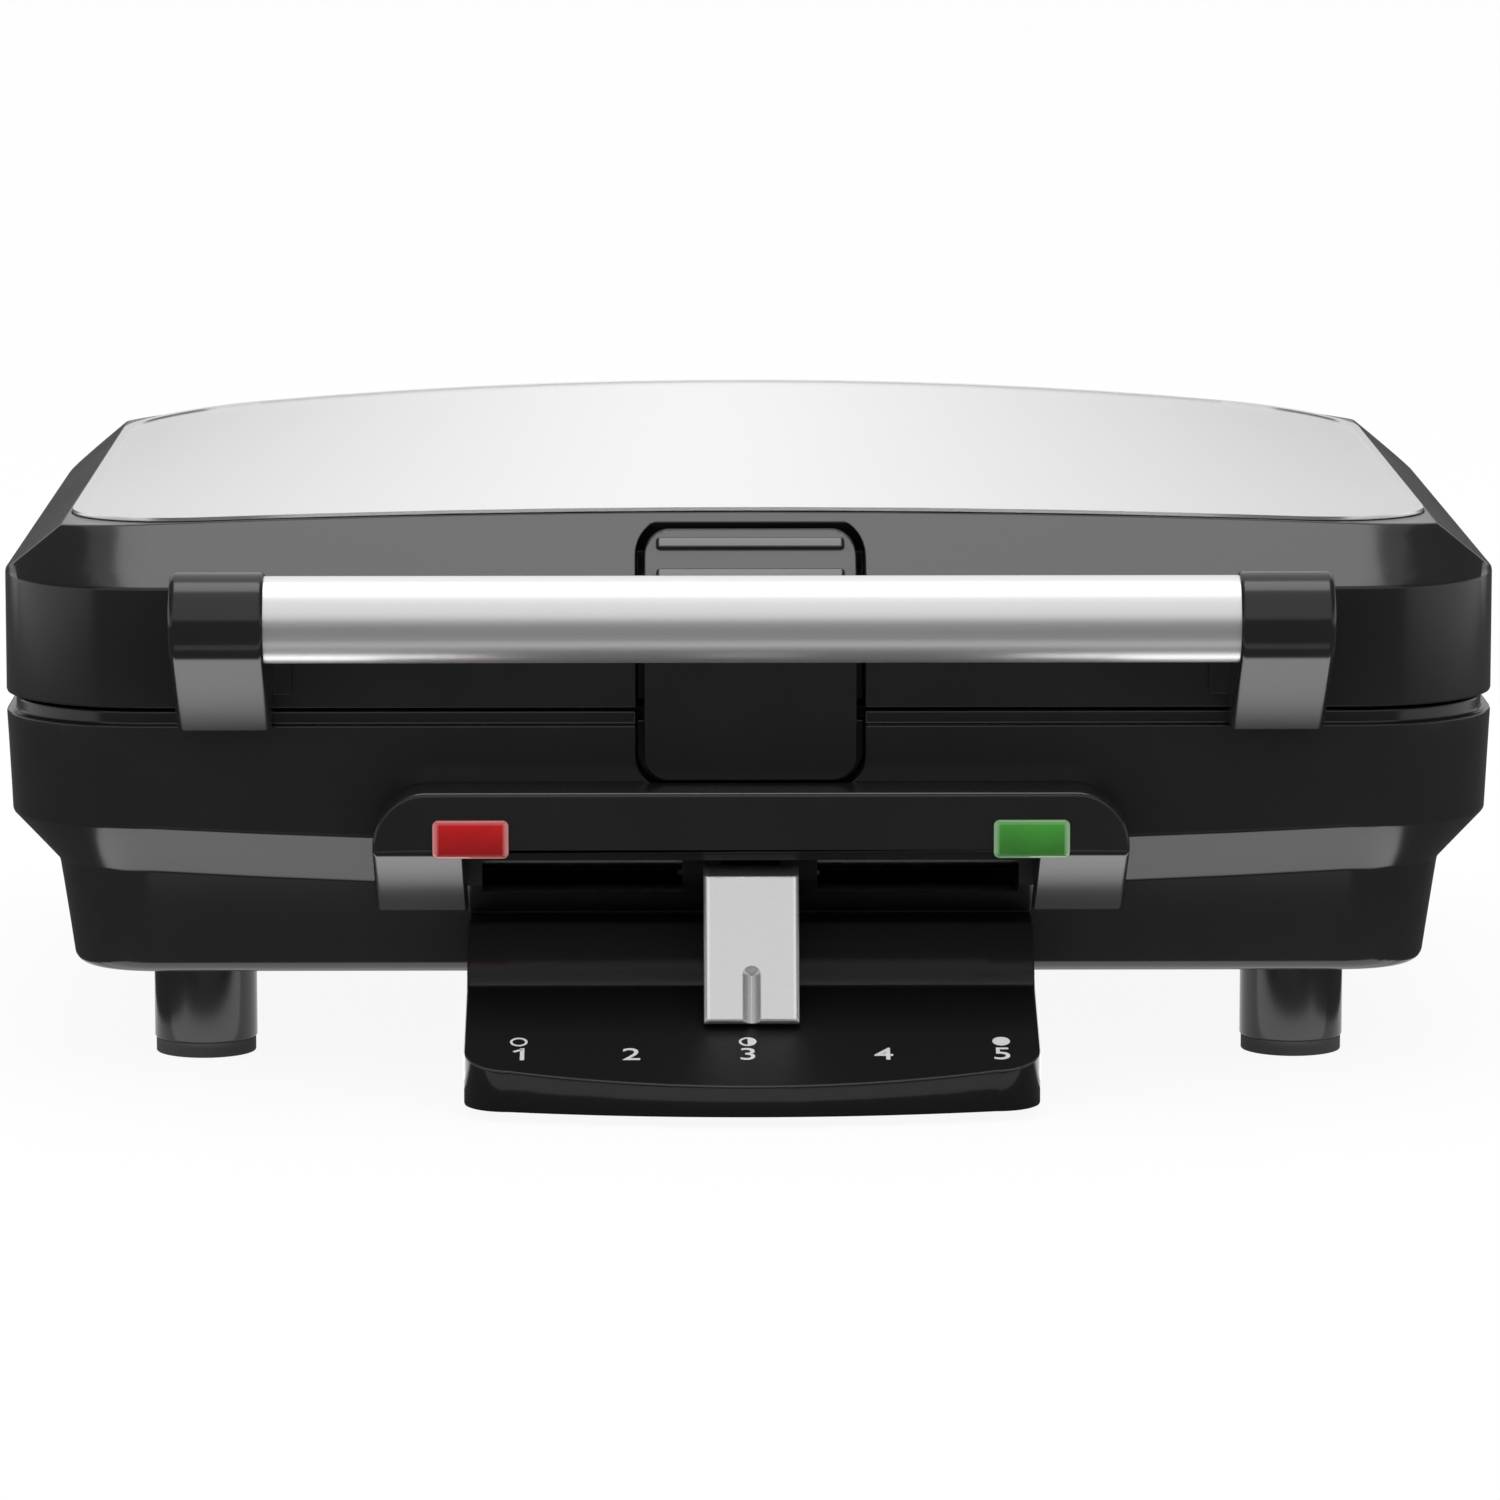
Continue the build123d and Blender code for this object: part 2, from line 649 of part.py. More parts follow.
# Base housing and what stands on it
def make_base_housing(outer):
    """Open tub with inner ledge, raised lip, posts, latch well and openings."""
    cavity = loft(
        [
            plan(lower_inset(Z_FLOOR) + WALL, Z_FLOOR),
            plan(LOWER_INSET + WALL, Z_LOWER + WALL),
            plan(BASE_INSET, Z_WAIST + WALL / 2),
            plan(BASE_INSET, Z_BASE_TOP + SEAM_H),
        ],
        ruled=True,
    )
    tub = outer - cavity
    tub += prism(LIP_INSET, Z_BASE_TOP, Z_LIP_TOP) - prism(BASE_INSET, Z_BASE_TOP, Z_LIP_TOP)
    ledge_low = Z_LOWER_LEDGE - LEDGE_T
    ledge = prism(BASE_INSET - WALL / 2, ledge_low, Z_LOWER_LEDGE)
    tub += ledge - prism(BASE_INSET + LEDGE_W, ledge_low, Z_LOWER_LEDGE)
    well_low = LATCH_BOTTOM - LATCH_GROOVE - WELL_WALL
    well_back = BASE_WELL_DEPTH + WELL_WALL
    tub += box(-WELL_BLOCK_HALF, WELL_BLOCK_HALF, WALL / 2, well_back, well_low, Z_BASE_TOP)
    room = front_profile(latch_outline(LATCH_GROOVE), -WELL_DEPTH, BASE_WELL_DEPTH)
    tub -= room
    hook_top = LATCH_BOTTOM + LATCH_GROOVE + HOOK_H
    catch_z = hook_top + HOOK_CLEAR
    tub += box(
        -CATCH_W / 2,
        CATCH_W / 2,
        BASE_WELL_DEPTH - CATCH_REACH,
        BASE_WELL_DEPTH,
        catch_z,
        catch_z + CATCH_H,
    )
    seat = Z_LOWER_BACK - SCREW_GRIP
    for x, y, _ in post_places(0):
        tub += rod_z(POST_D + 2 * WALL, Z_BOTTOM + FLOOR_T / 2, seat, x, y)
        tub += rod_z(POST_D, seat, Z_LOWER_BACK, x, y)
        tub -= rod_z(PLATE_BORE, Z_BOTTOM, Z_LOWER_BACK, x, y)
        tub -= rod_z(PLATE_HEAD_BORE, Z_BOTTOM, seat, x, y)
    tub -= Pos(0, MID_Y, Z_BOTTOM + COVER_T / 2) * extrude(
        RectangleRounded(2 * COVER_HALF_W, BODY_D - 2 * COVER_INSET, COVER_R), COVER_T / 2, both=True
    )
    tub -= Pos(0, MID_Y, Z_FLOOR) * extrude(
        RectangleRounded(
            2 * (COVER_HALF_W - COVER_LEDGE), BODY_D - 2 * (COVER_INSET + COVER_LEDGE), COVER_R
        ),
        FLOOR_T,
        both=True,
    )
    for x, y, _ in cover_screw_places(0):
        tub -= rod_z(SMALL_BORE, Z_BOTTOM, Z_FLOOR + OVERCUT, x, y)
    low = NECK_Z - SLOT_HALF
    high = NECK_Z + SLOT_HALF
    tub -= box(-SLOT_REACH, SLOT_REACH, -WAIST_BOW, RAIL_Y - CARRIER_HALF_D, low, high)
    for side in (-1, 1):
        x0 = side * (TRAVEL + CARRIER_HALF + RAIL_POST_GAP)
        x1 = x0 + side * RAIL_POST_T
        left, right = sorted((x0, x1))
        post = box(
            left,
            right,
            RAIL_Y - CARRIER_HALF_D,
            RAIL_Y + CARRIER_HALF_D - NECK_CLEAR / 2,
            Z_BOTTOM + FLOOR_T / 2,
            NECK_Z + CARRIER_H / 2,
        )
        tub += post - rod_x(RAIL_D + 2 * FIT, left, right, RAIL_Y, NECK_Z)
        tub -= rod_y(SMALL_BORE, -WAIST_BOW, 2 * WALL, side * CONTROL_SCREW_X, CONTROL_SCREW_Z)
        tub -= rod_y(SMALL_BORE, 0, RAIL_Y, side * TONGUE_SCREW_X, TONGUE_SCREW_Z)
    return tub - rod_y(GLAND_D + 2 * SCREW_CLEAR, BODY_D - 2 * CORNER_R, BODY_D, GLAND_X, GLAND_Z)


def cover_screw_places(z):
    """Four places of the bottom cover's screws, in the ledge's corners."""
    x = COVER_HALF_W - COVER_LEDGE / 2
    y = BODY_D / 2 - COVER_INSET - COVER_R - COVER_LEDGE
    return [(side * x, MID_Y + end * y, z) for side in (-1, 1) for end in (-1, 1)]


def make_bottom_cover():
    """Vented plate, flush in the bottom of the base."""
    grow = -COVER_CLEAR
    outline = RectangleRounded(
        2 * (COVER_HALF_W + grow), BODY_D - 2 * (COVER_INSET - grow), COVER_R + grow
    )
    plate = Pos(0, MID_Y, Z_BOTTOM) * extrude(outline, COVER_T)
    slot = extrude(SlotOverall(VENT_L, VENT_W, rotation=90), 2 * COVER_T, both=True)
    for end in (-1, 1):
        for count in range(VENTS):
            x = (count - (VENTS - 1) / 2) * VENT_PITCH
            plate -= Pos(x, MID_Y + end * VENT_ROW / 2, Z_BOTTOM) * slot
    for x, y, _ in cover_screw_places(0):
        plate -= rod_z(SMALL_BORE, Z_BOTTOM - OVERCUT, Z_FLOOR, x, y)
    return plate


def make_foot(x, y):
    """Round post under the base."""
    post = rod_z(FOOT_D, PAD_H, Z_BOTTOM, x, y)
    return chamfer(post.edges().group_by(Axis.Z)[0], FOOT_CHAMFER)


def make_foot_pad(x, y):
    """Rubber disc under a foot."""
    pad = rod_z(FOOT_D - 2 * FOOT_CHAMFER, 0, PAD_H, x, y)
    return chamfer(pad.edges().group_by(Axis.Z)[0], PAD_EDGE)


# Baking plates and heat
def make_pyramid(base, top):
    """Blunt pyramid of the grid's height."""
    tip = Pos(0, 0, PYRAMID_H) * Rectangle(top, top)
    return loft([Rectangle(base, base), tip], ruled=True)


def make_baking_plate(notch_depth):
    """Cast plate with its rim at height 0, its cells open upwards and pockets behind its pyramids."""
    size = Rectangle(2 * PLATE_HALF_W, 2 * PLATE_HALF_D)
    size = fillet(size.vertices(), PLATE_R)
    plate = Pos(0, MID_Y, -PLATE_H) * extrude(size, PLATE_H)
    flange = extrude(plan(FLANGE_INSET, -FLANGE_DROP - FLANGE_T), FLANGE_T)
    half = WELL_BLOCK_HALF + FLANGE_CLEAR
    flange -= box(-half, half, 0, notch_depth + FLANGE_CLEAR, -PLATE_H, 0)
    plate += flange
    room = Rectangle(2 * (PLATE_HALF_W - RIM_W), 2 * (PLATE_HALF_D - RIM_W))
    plate -= Pos(0, MID_Y, -TIP_DROP) * extrude(room, 2 * TIP_DROP)
    cell = extrude(Rectangle(CELL_W, CELL_D), -PYRAMID_H, taper=CELL_DRAFT_DEG)
    pyramid = make_pyramid(PYRAMID_BASE, PYRAMID_TOP)
    pocket = make_pyramid(PYRAMID_BASE - 2 * PLATE_T, PYRAMID_TOP - 2 * PLATE_T)
    floor = -TIP_DROP - PYRAMID_H
    cells = GridLocations(CELL_W + DIVIDER, CELL_D + DIVIDER, 2, 2)
    grid = GridLocations(PYRAMID_PITCH, PYRAMID_PITCH, PYRAMIDS_X, PYRAMIDS_Y)
    plate -= [Pos(0, MID_Y, -TIP_DROP) * place * cell for place in cells]
    plate += [Pos(0, MID_Y, floor) * place * spot * pyramid for place in cells for spot in grid]
    plate -= [Pos(0, MID_Y, -PLATE_H) * place * spot * pocket for place in cells for spot in grid]
    for x, y, _ in post_places(0):
        plate -= rod_z(PLATE_BORE, -PLATE_H, -PLATE_H + SCREW_GRIP + TIP_ROOM, x, y)
    return plate


def make_element(z):
    """Tubular element bent to a U, with thinner cold pins at its ends."""
    half = TRAY_HALF_W - ELEMENT_INSET
    front = MID_Y - TRAY_HALF_D + ELEMENT_INSET / 2
    rear = MID_Y + TRAY_HALF_D - ELEMENT_INSET / 2
    path = FilletPolyline(
        (-half, rear, z), (-half, front, z), (half, front, z), (half, rear, z), radius=ELEMENT_BEND_R
    )
    tube = sweep(Plane(path @ 0, z_dir=path % 0) * Circle(ELEMENT_D / 2), path)
    for side in (-1, 1):
        tube += rod_y(COLD_PIN_D, rear, rear + COLD_PIN_L, side * half, z)
    return tube


def make_tray():
    """Sheet pan with its rim at height 0, open upwards."""
    outer = Pos(0, MID_Y, -TRAY_DEPTH) * extrude(
        RectangleRounded(2 * TRAY_HALF_W, 2 * TRAY_HALF_D, PLATE_R), TRAY_DEPTH
    )
    inner_w = 2 * (TRAY_HALF_W - TRAY_SHEET)
    inner_d = 2 * (TRAY_HALF_D - TRAY_SHEET)
    inner = RectangleRounded(inner_w, inner_d, PLATE_R - TRAY_SHEET)
    return outer - Pos(0, MID_Y, -TRAY_DEPTH + TRAY_SHEET) * extrude(inner, TRAY_DEPTH)


# Lid and handle
def make_lid_housing(outer):
    """Shell with a seat for the panel, inner ledge, posts, latch room and holes."""
    shell = outer - prism(WALL, Z_LID_BOTTOM - OVERCUT, Z_CAVITY)
    shell -= prism(ROOF_INSET, Z_CAVITY - OVERCUT, Z_LIMIT) & make_crown(-PANEL_T - ROOF_T)
    ledge = prism(WALL / 2, Z_UPPER_LEDGE, Z_UPPER_LEDGE + LEDGE_T)
    shell += ledge - prism(BASE_INSET + LEDGE_W, Z_UPPER_LEDGE, Z_UPPER_LEDGE + LEDGE_T)
    shell += make_lid_well_block() & outer
    for x, y, _ in post_places(0):
        shell += rod_z(POST_D, Z_UPPER_BACK, Z_LIMIT, x, y) & outer
    shell -= panel_prism(PANEL_CLEAR) - make_crown(-PANEL_T - PANEL_CLEAR)
    shell -= make_lid_well()
    shell -= make_latch_pin_hole()
    seat = Z_UPPER_BACK + SCREW_GRIP
    for x, y, _ in post_places(0):
        shell -= rod_z(PLATE_BORE, Z_UPPER_BACK, Z_LIMIT, x, y)
        shell -= rod_z(PLATE_HEAD_BORE, seat, Z_LIMIT, x, y)
    for x, z in handle_screw_places():
        shell -= rod_y(SMALL_BORE, -OVERCUT, 2 * WALL, x, z)
    return shell


def make_latch_pin_hole():
    """Bore for the latch pin through the walls of the latch room."""
    bore = LATCH_PIN_D + 2 * FIT
    return rod_x(bore, -WELL_BLOCK_HALF, WELL_BLOCK_HALF, LATCH_PIN_Y, LATCH_PIN_Z)


def make_panel():
    """Crowned sheet with a raised hem round its edge."""
    base = make_crown(-PANEL_T)
    sheet = (panel_prism(0) & make_crown(0)) - base
    hem = (panel_prism(0) - panel_prism(-HEM_W)) & make_crown(HEM_H)
    return sheet + (hem - base)


def handle_screw_places():
    """Two screws behind each bracket, as x and z, between the lid's ledge and its roof."""
    x = BAR_HALF + BRACKET_W / 2
    z = (Z_UPPER_LEDGE + LEDGE_T + Z_CAVITY) / 2
    return [(side * (x + step * BRACKET_W / 4), z) for side in (-1, 1) for step in (-1, 1)]


def make_bar():
    """Tube across the front, whose ends sit in the brackets."""
    half = BAR_HALF + BAR_SOCKET
    tube = rod_x(BAR_D, -half, half, -BAR_STANDOFF, BAR_Z)
    return tube - rod_x(BAR_D - 2 * BAR_WALL, -half, half, -BAR_STANDOFF, BAR_Z)


def make_bracket(side, lid):
    """Bracket whose nose wraps the bar's end and whose top and underside slope back to the lid."""
    nose = BAR_D / 2 + BRACKET_WALL
    centre = (-BAR_STANDOFF, BAR_Z)
    toe = (-BRACKET_FOOT, Z_LID_BOTTOM - BRACKET_DROP)
    reach_y = toe[0] - centre[0]
    reach_z = toe[1] - centre[1]
    distance = hypot(reach_y, reach_z)
    along = nose * nose / distance
    across = nose * (1 - (nose / distance) ** 2) ** 0.5
    unit_y = reach_y / distance
    unit_z = reach_z / distance
    tangent = (
        centre[0] + along * unit_y + across * unit_z,
        centre[1] + along * unit_z - across * unit_y,
    )
    fall = radians(BRACKET_FALL_DEG)
    top = (centre[0] + nose * sin(fall), centre[1] + nose * cos(fall))
    back = (BRACKET_FOOT, top[1] - tan(fall) * (BRACKET_FOOT - top[0]))
    x0, x1 = sorted((side * BAR_HALF, side * (BAR_HALF + BRACKET_W)))
    points = [
        top,
        centre,
        tangent,
        toe,
        (0, toe[1]),
        (0, Z_LID_BOTTOM),
        back,
    ]
    side_face = make_face(Polyline(*points, close=True)) + Pos(*centre) * Circle(nose)
    face = Pos(x0, 0, 0) * (Plane.YZ * side_face)
    body = extrude(face, x1 - x0, dir=(1, 0, 0))
    rims = body.edges().group_by(Axis.X)
    rims = rims[0] + rims[-1]
    body = fillet([edge for edge in rims if edge.center().Y < -BRACKET_FILLET], BRACKET_FILLET)
    inner = side * (BAR_HALF - PAD_REACH)
    p0, p1 = sorted((inner, side * (BAR_HALF + BRACKET_W / 2)))
    body += box(p0, p1, -PAD_T, 0, Z_LID_BOTTOM + PAD_RISE, Z_CREASE)
    body -= lid
    s0, s1 = sorted((side * BAR_HALF, side * (BAR_HALF + BAR_SOCKET)))
    body -= rod_x(BAR_D + 2 * SCREW_CLEAR, min(s0, -side), max(s1, -side), *centre)
    for x, z in handle_screw_places():
        body -= rod_y(SMALL_BORE, -SCREW_GRIP, OVERCUT, x, z)
    return body


# Control visor, tongue and slider
def make_visor_block(base):
    """Outer form of the visor, down to the foot of its slanting underside."""
    back = lower_inset(VISOR_FOOT_Z) + WALL
    points = [
        (back, VISOR_TOP),
        (-VISOR_D, VISOR_TOP),
        (-VISOR_D, Z_VISOR_FACE),
        (lower_inset(VISOR_FOOT_Z), VISOR_FOOT_Z),
        (back, VISOR_FOOT_Z),
    ]
    body = side_profile(points, -VISOR_HALF, VISOR_HALF)
    height = VISOR_TOP - VISOR_FOOT_Z
    outline = Rectangle(2 * VISOR_HALF, height)
    outline = fillet(outline.vertices().group_by(Axis.Y)[-1], VISOR_R)
    body &= front_profile(Pos(0, VISOR_FOOT_Z + height / 2) * outline, -2 * VISOR_D, 2 * VISOR_D)
    return body - base


def make_slot_plate(block):
    """Back of the slider's recess, with the slot that the carrier's neck runs in."""
    plate = block & box(-RECESS_HALF, RECESS_HALF, 0, 2 * VISOR_D, VISOR_FOOT_Z, Z_VISOR_FACE)
    low = NECK_Z - SLOT_HALF
    high = NECK_Z + SLOT_HALF
    return plate - box(-SLOT_REACH, SLOT_REACH, -OVERCUT, 2 * VISOR_D, low, high)


def make_control_panel(block, base):
    """Visor over the slider's recess, with lens windows and screw bosses."""
    body = block - box(-RECESS_HALF, RECESS_HALF, -2 * VISOR_D, 2 * VISOR_D, 0, Z_VISOR_FACE)
    height = VISOR_TOP - VISOR_FOOT_Z
    inner_top = VISOR_TOP - VISOR_WALL
    inner_low = Z_VISOR_FACE + VISOR_WALL
    inner = Rectangle(2 * (VISOR_HALF - VISOR_WALL), height)
    inner = fillet(inner.vertices().group_by(Axis.Y)[-1], VISOR_R - VISOR_WALL)
    room = front_profile(Pos(0, inner_top - height / 2) * inner, -VISOR_D + VISOR_WALL, 2 * VISOR_D)
    body -= room & box(-VISOR_HALF, VISOR_HALF, -VISOR_D, 2 * VISOR_D, inner_low, VISOR_TOP)
    for side in (-1, 1):
        x = side * CONTROL_SCREW_X
        body += rod_y(CONTROL_BOSS_D, -VISOR_D + VISOR_WALL / 2, 0, x, CONTROL_SCREW_Z) - base
        body -= rod_y(SMALL_BORE, -SCREW_GRIP, OVERCUT, x, CONTROL_SCREW_Z)
        body -= lens_stem(side, LENS_CLEAR)
    return body


def lens_stem(side, grow):
    """Part of a lens that passes through the visor's face."""
    half = LENS_W / 2 - LENS_FLANGE + grow
    low = Z_VISOR_FACE + LENS_CLEAR - grow
    high = LENS_Z + LENS_H / 2 - LENS_FLANGE + grow
    x = side * LENS_X
    depth = VISOR_D - VISOR_WALL
    return box(x - half, x + half, -VISOR_D, -depth + LENS_CLEAR, low + LENS_FLANGE, high)


def make_lens(side):
    """Lens with a flanged window that stands proud of the visor's face."""
    cap = Pos(side * LENS_X, LENS_Z) * RectangleRounded(LENS_W, LENS_H, LENS_R)
    window = front_profile(cap, -VISOR_D - LENS_PROUD, -VISOR_D)
    window = chamfer(window.edges().group_by(Axis.Y)[0], LENS_PROUD / 2)
    return window + lens_stem(side, 0)


def make_lamp(side):
    """Small glass lamp behind a lens, lying on the visor's floor."""
    y = -VISOR_D + VISOR_WALL + LAMP_D / 2 + LENS_PROUD
    z = Z_VISOR_FACE + VISOR_WALL + LAMP_D / 2
    return rod_x(LAMP_D, side * LENS_X - LAMP_L / 2, side * LENS_X + LAMP_L / 2, y, z)


def make_tongue(base):
    """Scale plate: a riser, a top that slopes down to a bowed front edge, and a hollow underside."""
    back = lower_inset(Z_BOTTOM) + WALL
    side_y = -TONGUE_REACH + TONGUE_BOW
    points = [
        (back, TONGUE_TOP),
        (0, TONGUE_TOP),
        (-TONGUE_RISER_D, TONGUE_STEP_Z),
        (-TONGUE_REACH, TONGUE_FRONT_Z),
        (-TONGUE_REACH, TONGUE_FLOOR_Z),
        (side_y + TONGUE_R, TONGUE_FLOOR_Z),
        (back, Z_BOTTOM + TONGUE_WALL),
    ]
    body = side_profile(points, -RECESS_HALF, RECESS_HALF)
    flat = RECESS_HALF - TONGUE_R
    edges = [
        Line((RECESS_HALF, back), (-RECESS_HALF, back)),
        Line((-RECESS_HALF, back), (-RECESS_HALF, side_y + TONGUE_R)),
        RadiusArc((-RECESS_HALF, side_y + TONGUE_R), (-flat, side_y), -TONGUE_R),
        ThreePointArc((-flat, side_y), (0, -TONGUE_REACH), (flat, side_y)),
        RadiusArc((flat, side_y), (RECESS_HALF, side_y + TONGUE_R), -TONGUE_R),
        Line((RECESS_HALF, side_y + TONGUE_R), (RECESS_HALF, back)),
    ]
    body &= extrude(make_face(edges), TONGUE_TOP)
    inner_y = side_y + TONGUE_WALL
    inner_z = TONGUE_STEP_Z + TONGUE_FALL * (inner_y + TONGUE_RISER_D) - TONGUE_WALL
    hollow = [
        (0, TONGUE_FLOOR_Z),
        (0, TONGUE_STEP_Z - TONGUE_WALL),
        (-TONGUE_RISER_D, TONGUE_STEP_Z - TONGUE_WALL),
        (inner_y, inner_z),
        (inner_y, TONGUE_FLOOR_Z - OVERCUT),
    ]
    body -= side_profile(hollow, -flat, flat)
    body -= base
    for side in (-1, 1):
        deep = lower_inset(TONGUE_SCREW_Z) - SCREW_GRIP
        body -= rod_y(SMALL_BORE, deep, back, side * TONGUE_SCREW_X, TONGUE_SCREW_Z)
    return body


def knob_line(along, inward):
    """Point on the knob's face: distance down from its top edge, depth behind the face."""
    y = KNOB_TOP_Y + along * KNOB_UNIT_Y - inward * KNOB_UNIT_Z
    z = KNOB_TOP_Z + along * KNOB_UNIT_Z + inward * KNOB_UNIT_Y
    return (y, z)


def make_knob():
    """Inclined knob with a shelf back to the slot, rounded face edges and a pointer groove."""
    lift = (TONGUE_FALL * -KNOB_UNIT_Z - KNOB_UNIT_Y) / (-KNOB_UNIT_Z + TONGUE_FALL * KNOB_UNIT_Y)
    heel = knob_line(KNOB_L - KNOB_T * lift, KNOB_T)
    shelf = NECK_Z - NECK_H / 2
    fold = knob_line((shelf - KNOB_TOP_Z - KNOB_T * KNOB_UNIT_Y) / KNOB_UNIT_Z, KNOB_T)
    points = [
        knob_line(0, 0),
        knob_line(KNOB_L, 0),
        heel,
        fold,
        (-KNOB_GAP, shelf),
        (-KNOB_GAP, KNOB_TOP_Z),
    ]
    knob = side_profile(points, -KNOB_W / 2, KNOB_W / 2)
    face = knob.faces().sort_by(SortBy.AREA)[-1]
    return fillet(face.edges(), KNOB_FILLET) - pointer_groove()


def pointer_groove():
    """Pointed groove that runs off the knob's lower end, with a conical start."""
    start = (0, *knob_line(KNOB_L - POINTER_L, 0))
    down = (0, KNOB_UNIT_Y, KNOB_UNIT_Z)
    outward = (0, KNOB_UNIT_Z, -KNOB_UNIT_Y)
    wedge = Polyline((-POINTER_W / 2, 0), (POINTER_W / 2, 0), (0, -POINTER_DEPTH), close=True)
    run = extrude(Plane(start, x_dir=(1, 0, 0), z_dir=down) * make_face(wedge), POINTER_L)
    tip = Cone(0, POINTER_W / 2, POINTER_DEPTH, align=(Align.CENTER, Align.CENTER, Align.MAX))
    return run + Plane(start, x_dir=(1, 0, 0), z_dir=outward) * tip


def make_carrier():
    """Neck through the slot, block on the rail and ramp that sets the thermostat."""
    body = box(
        -NECK_W / 2, NECK_W / 2, -KNOB_GAP, RAIL_Y, NECK_Z - NECK_H / 2, NECK_Z + NECK_H / 2
    )
    body += box(
        -CARRIER_HALF,
        CARRIER_HALF,
        RAIL_Y - CARRIER_HALF_D,
        CARRIER_Y + RAMP_T / 2,
        NECK_Z - CARRIER_H / 2,
        NECK_Z + CARRIER_H / 2,
    )
    lean = RAMP_RATIO * RAMP_HALF
    low_y = RAMP_Y - lean
    high_y = RAMP_Y + lean
    points = [
        (-RAMP_HALF, CARRIER_Y),
        (RAMP_HALF, CARRIER_Y),
        (RAMP_HALF, high_y),
        (-RAMP_HALF, low_y),
    ]
    outline = make_face(Polyline(*points, close=True))
    body += Pos(0, 0, NECK_Z - RAMP_H / 2) * extrude(outline, RAMP_H)
    return body - rod_x(RAIL_D + 2 * FIT, -CARRIER_HALF, CARRIER_HALF, RAIL_Y, NECK_Z)


def make_rail():
    """Steel rod between the two rail posts."""
    half = TRAVEL + CARRIER_HALF + RAIL_POST_GAP + RAIL_POST_T
    return rod_x(RAIL_D, -half, half, RAIL_Y, NECK_Z)


def make_plunger():
    """Round-ended plunger between the ramp and the thermostat."""
    tip = RAMP_Y + PLUNGER_CLEAR
    body = rod_y(PLUNGER_D, tip, tip + PLUNGER_L, 0, NECK_Z)
    return fillet(body.edges().group_by(Axis.Y)[0], PLUNGER_D / 2 - 2 * FIT)


def make_thermostat():
    """Thermostat block with a bore for its plunger."""
    low = Z_TRAY - STRAP_T - THERMOSTAT_H
    body = box(
        -THERMOSTAT_W / 2,
        THERMOSTAT_W / 2,
        THERMOSTAT_Y,
        THERMOSTAT_Y + THERMOSTAT_L,
        low,
        Z_TRAY - STRAP_T,
    )
    depth = RAMP_Y + PLUNGER_CLEAR + PLUNGER_L + RAMP_RATIO * TRAVEL + TIP_ROOM
    return body - rod_y(PLUNGER_D + 2 * FIT, THERMOSTAT_Y - OVERCUT, depth, 0, NECK_Z)


def make_thermostat_bracket():
    """Sheet strap between the thermostat and the reflector."""
    half = THERMOSTAT_W / 2 + STRAP_OVERHANG
    return box(-half, half, THERMOSTAT_Y, THERMOSTAT_Y + THERMOSTAT_L, Z_TRAY - STRAP_T, Z_TRAY)


def make_fuse():
    """Thermal fuse with its two leads, against the reflector."""
    z = Z_TRAY - FUSE_D / 2
    body = rod_x(FUSE_D, FUSE_X - FUSE_L / 2, FUSE_X + FUSE_L / 2, FUSE_Y, z)
    half = FUSE_L / 2 + FUSE_LEAD_L
    return body + rod_x(FUSE_LEAD_D, FUSE_X - half, FUSE_X + half, FUSE_Y, z)


def make_terminal_block():
    """Terminal block on the base's floor behind the cover's opening."""
    y0 = BODY_D - COVER_INSET
    body = box(-BLOCK_W / 2, BLOCK_W / 2, y0, y0 + BLOCK_L, Z_FLOOR, Z_FLOOR + BLOCK_H)
    top = Z_FLOOR + BLOCK_H
    for count in range(BLOCK_POLES):
        x = (count - (BLOCK_POLES - 1) / 2) * BLOCK_W / BLOCK_POLES
        body -= rod_z(BLOCK_HOLE_D, top - BLOCK_HOLE_DEPTH, top + OVERCUT, x, y0 + BLOCK_L / 2)
    return body


def make_gland(base):
    """Flanged cord bush in the rear wall."""
    wall = BODY_D - lower_inset(GLAND_Z + GLAND_FLANGE_D / 2)
    end = wall + GLAND_FLANGE_T
    flange = rod_y(GLAND_FLANGE_D, wall - GLAND_FLANGE_T, end, GLAND_X, GLAND_Z) - base
    inner = BODY_D - lower_inset(GLAND_Z) - WALL - GLAND_INNER
    return flange + rod_y(GLAND_D, inner, end, GLAND_X, GLAND_Z) - rod_y(
        GLAND_BORE, inner - OVERCUT, end + OVERCUT, GLAND_X, GLAND_Z
    )


# Hinges
def make_hinge_bracket(side, base):
    """Plate on the rear wall with two cheeks that carry the pin."""
    x = side * HINGE_X
    inner = ARM_HALF + CHEEK_GAP
    outer = inner + CHEEK_T
    top = Z_BASE_TOP - UPPER_DRAFT
    low = top - HINGE_PLATE_H
    plate_y = BODY_D + HINGE_PLATE_T
    bracket = box(x - outer, x + outer, BODY_D - 2 * UPPER_DRAFT, plate_y, low, top)
    for near, far in ((-outer, -inner), (inner, outer)):
        cheek = side_profile(
            [
                (BODY_D - UPPER_DRAFT, low),
                (HINGE_Y + KNUCKLE_R, HINGE_Z),
                (HINGE_Y, HINGE_Z),
                (HINGE_Y - KNUCKLE_R, HINGE_Z),
                (BODY_D - UPPER_DRAFT, top),
            ],
            x + near,
            x + far,
        )
        bracket += cheek + rod_x(2 * KNUCKLE_R, x + near, x + far, HINGE_Y, HINGE_Z)
    bracket -= base
    return bracket - rod_x(HINGE_PIN_D + 2 * FIT, x - outer, x + outer, HINGE_Y, HINGE_Z)


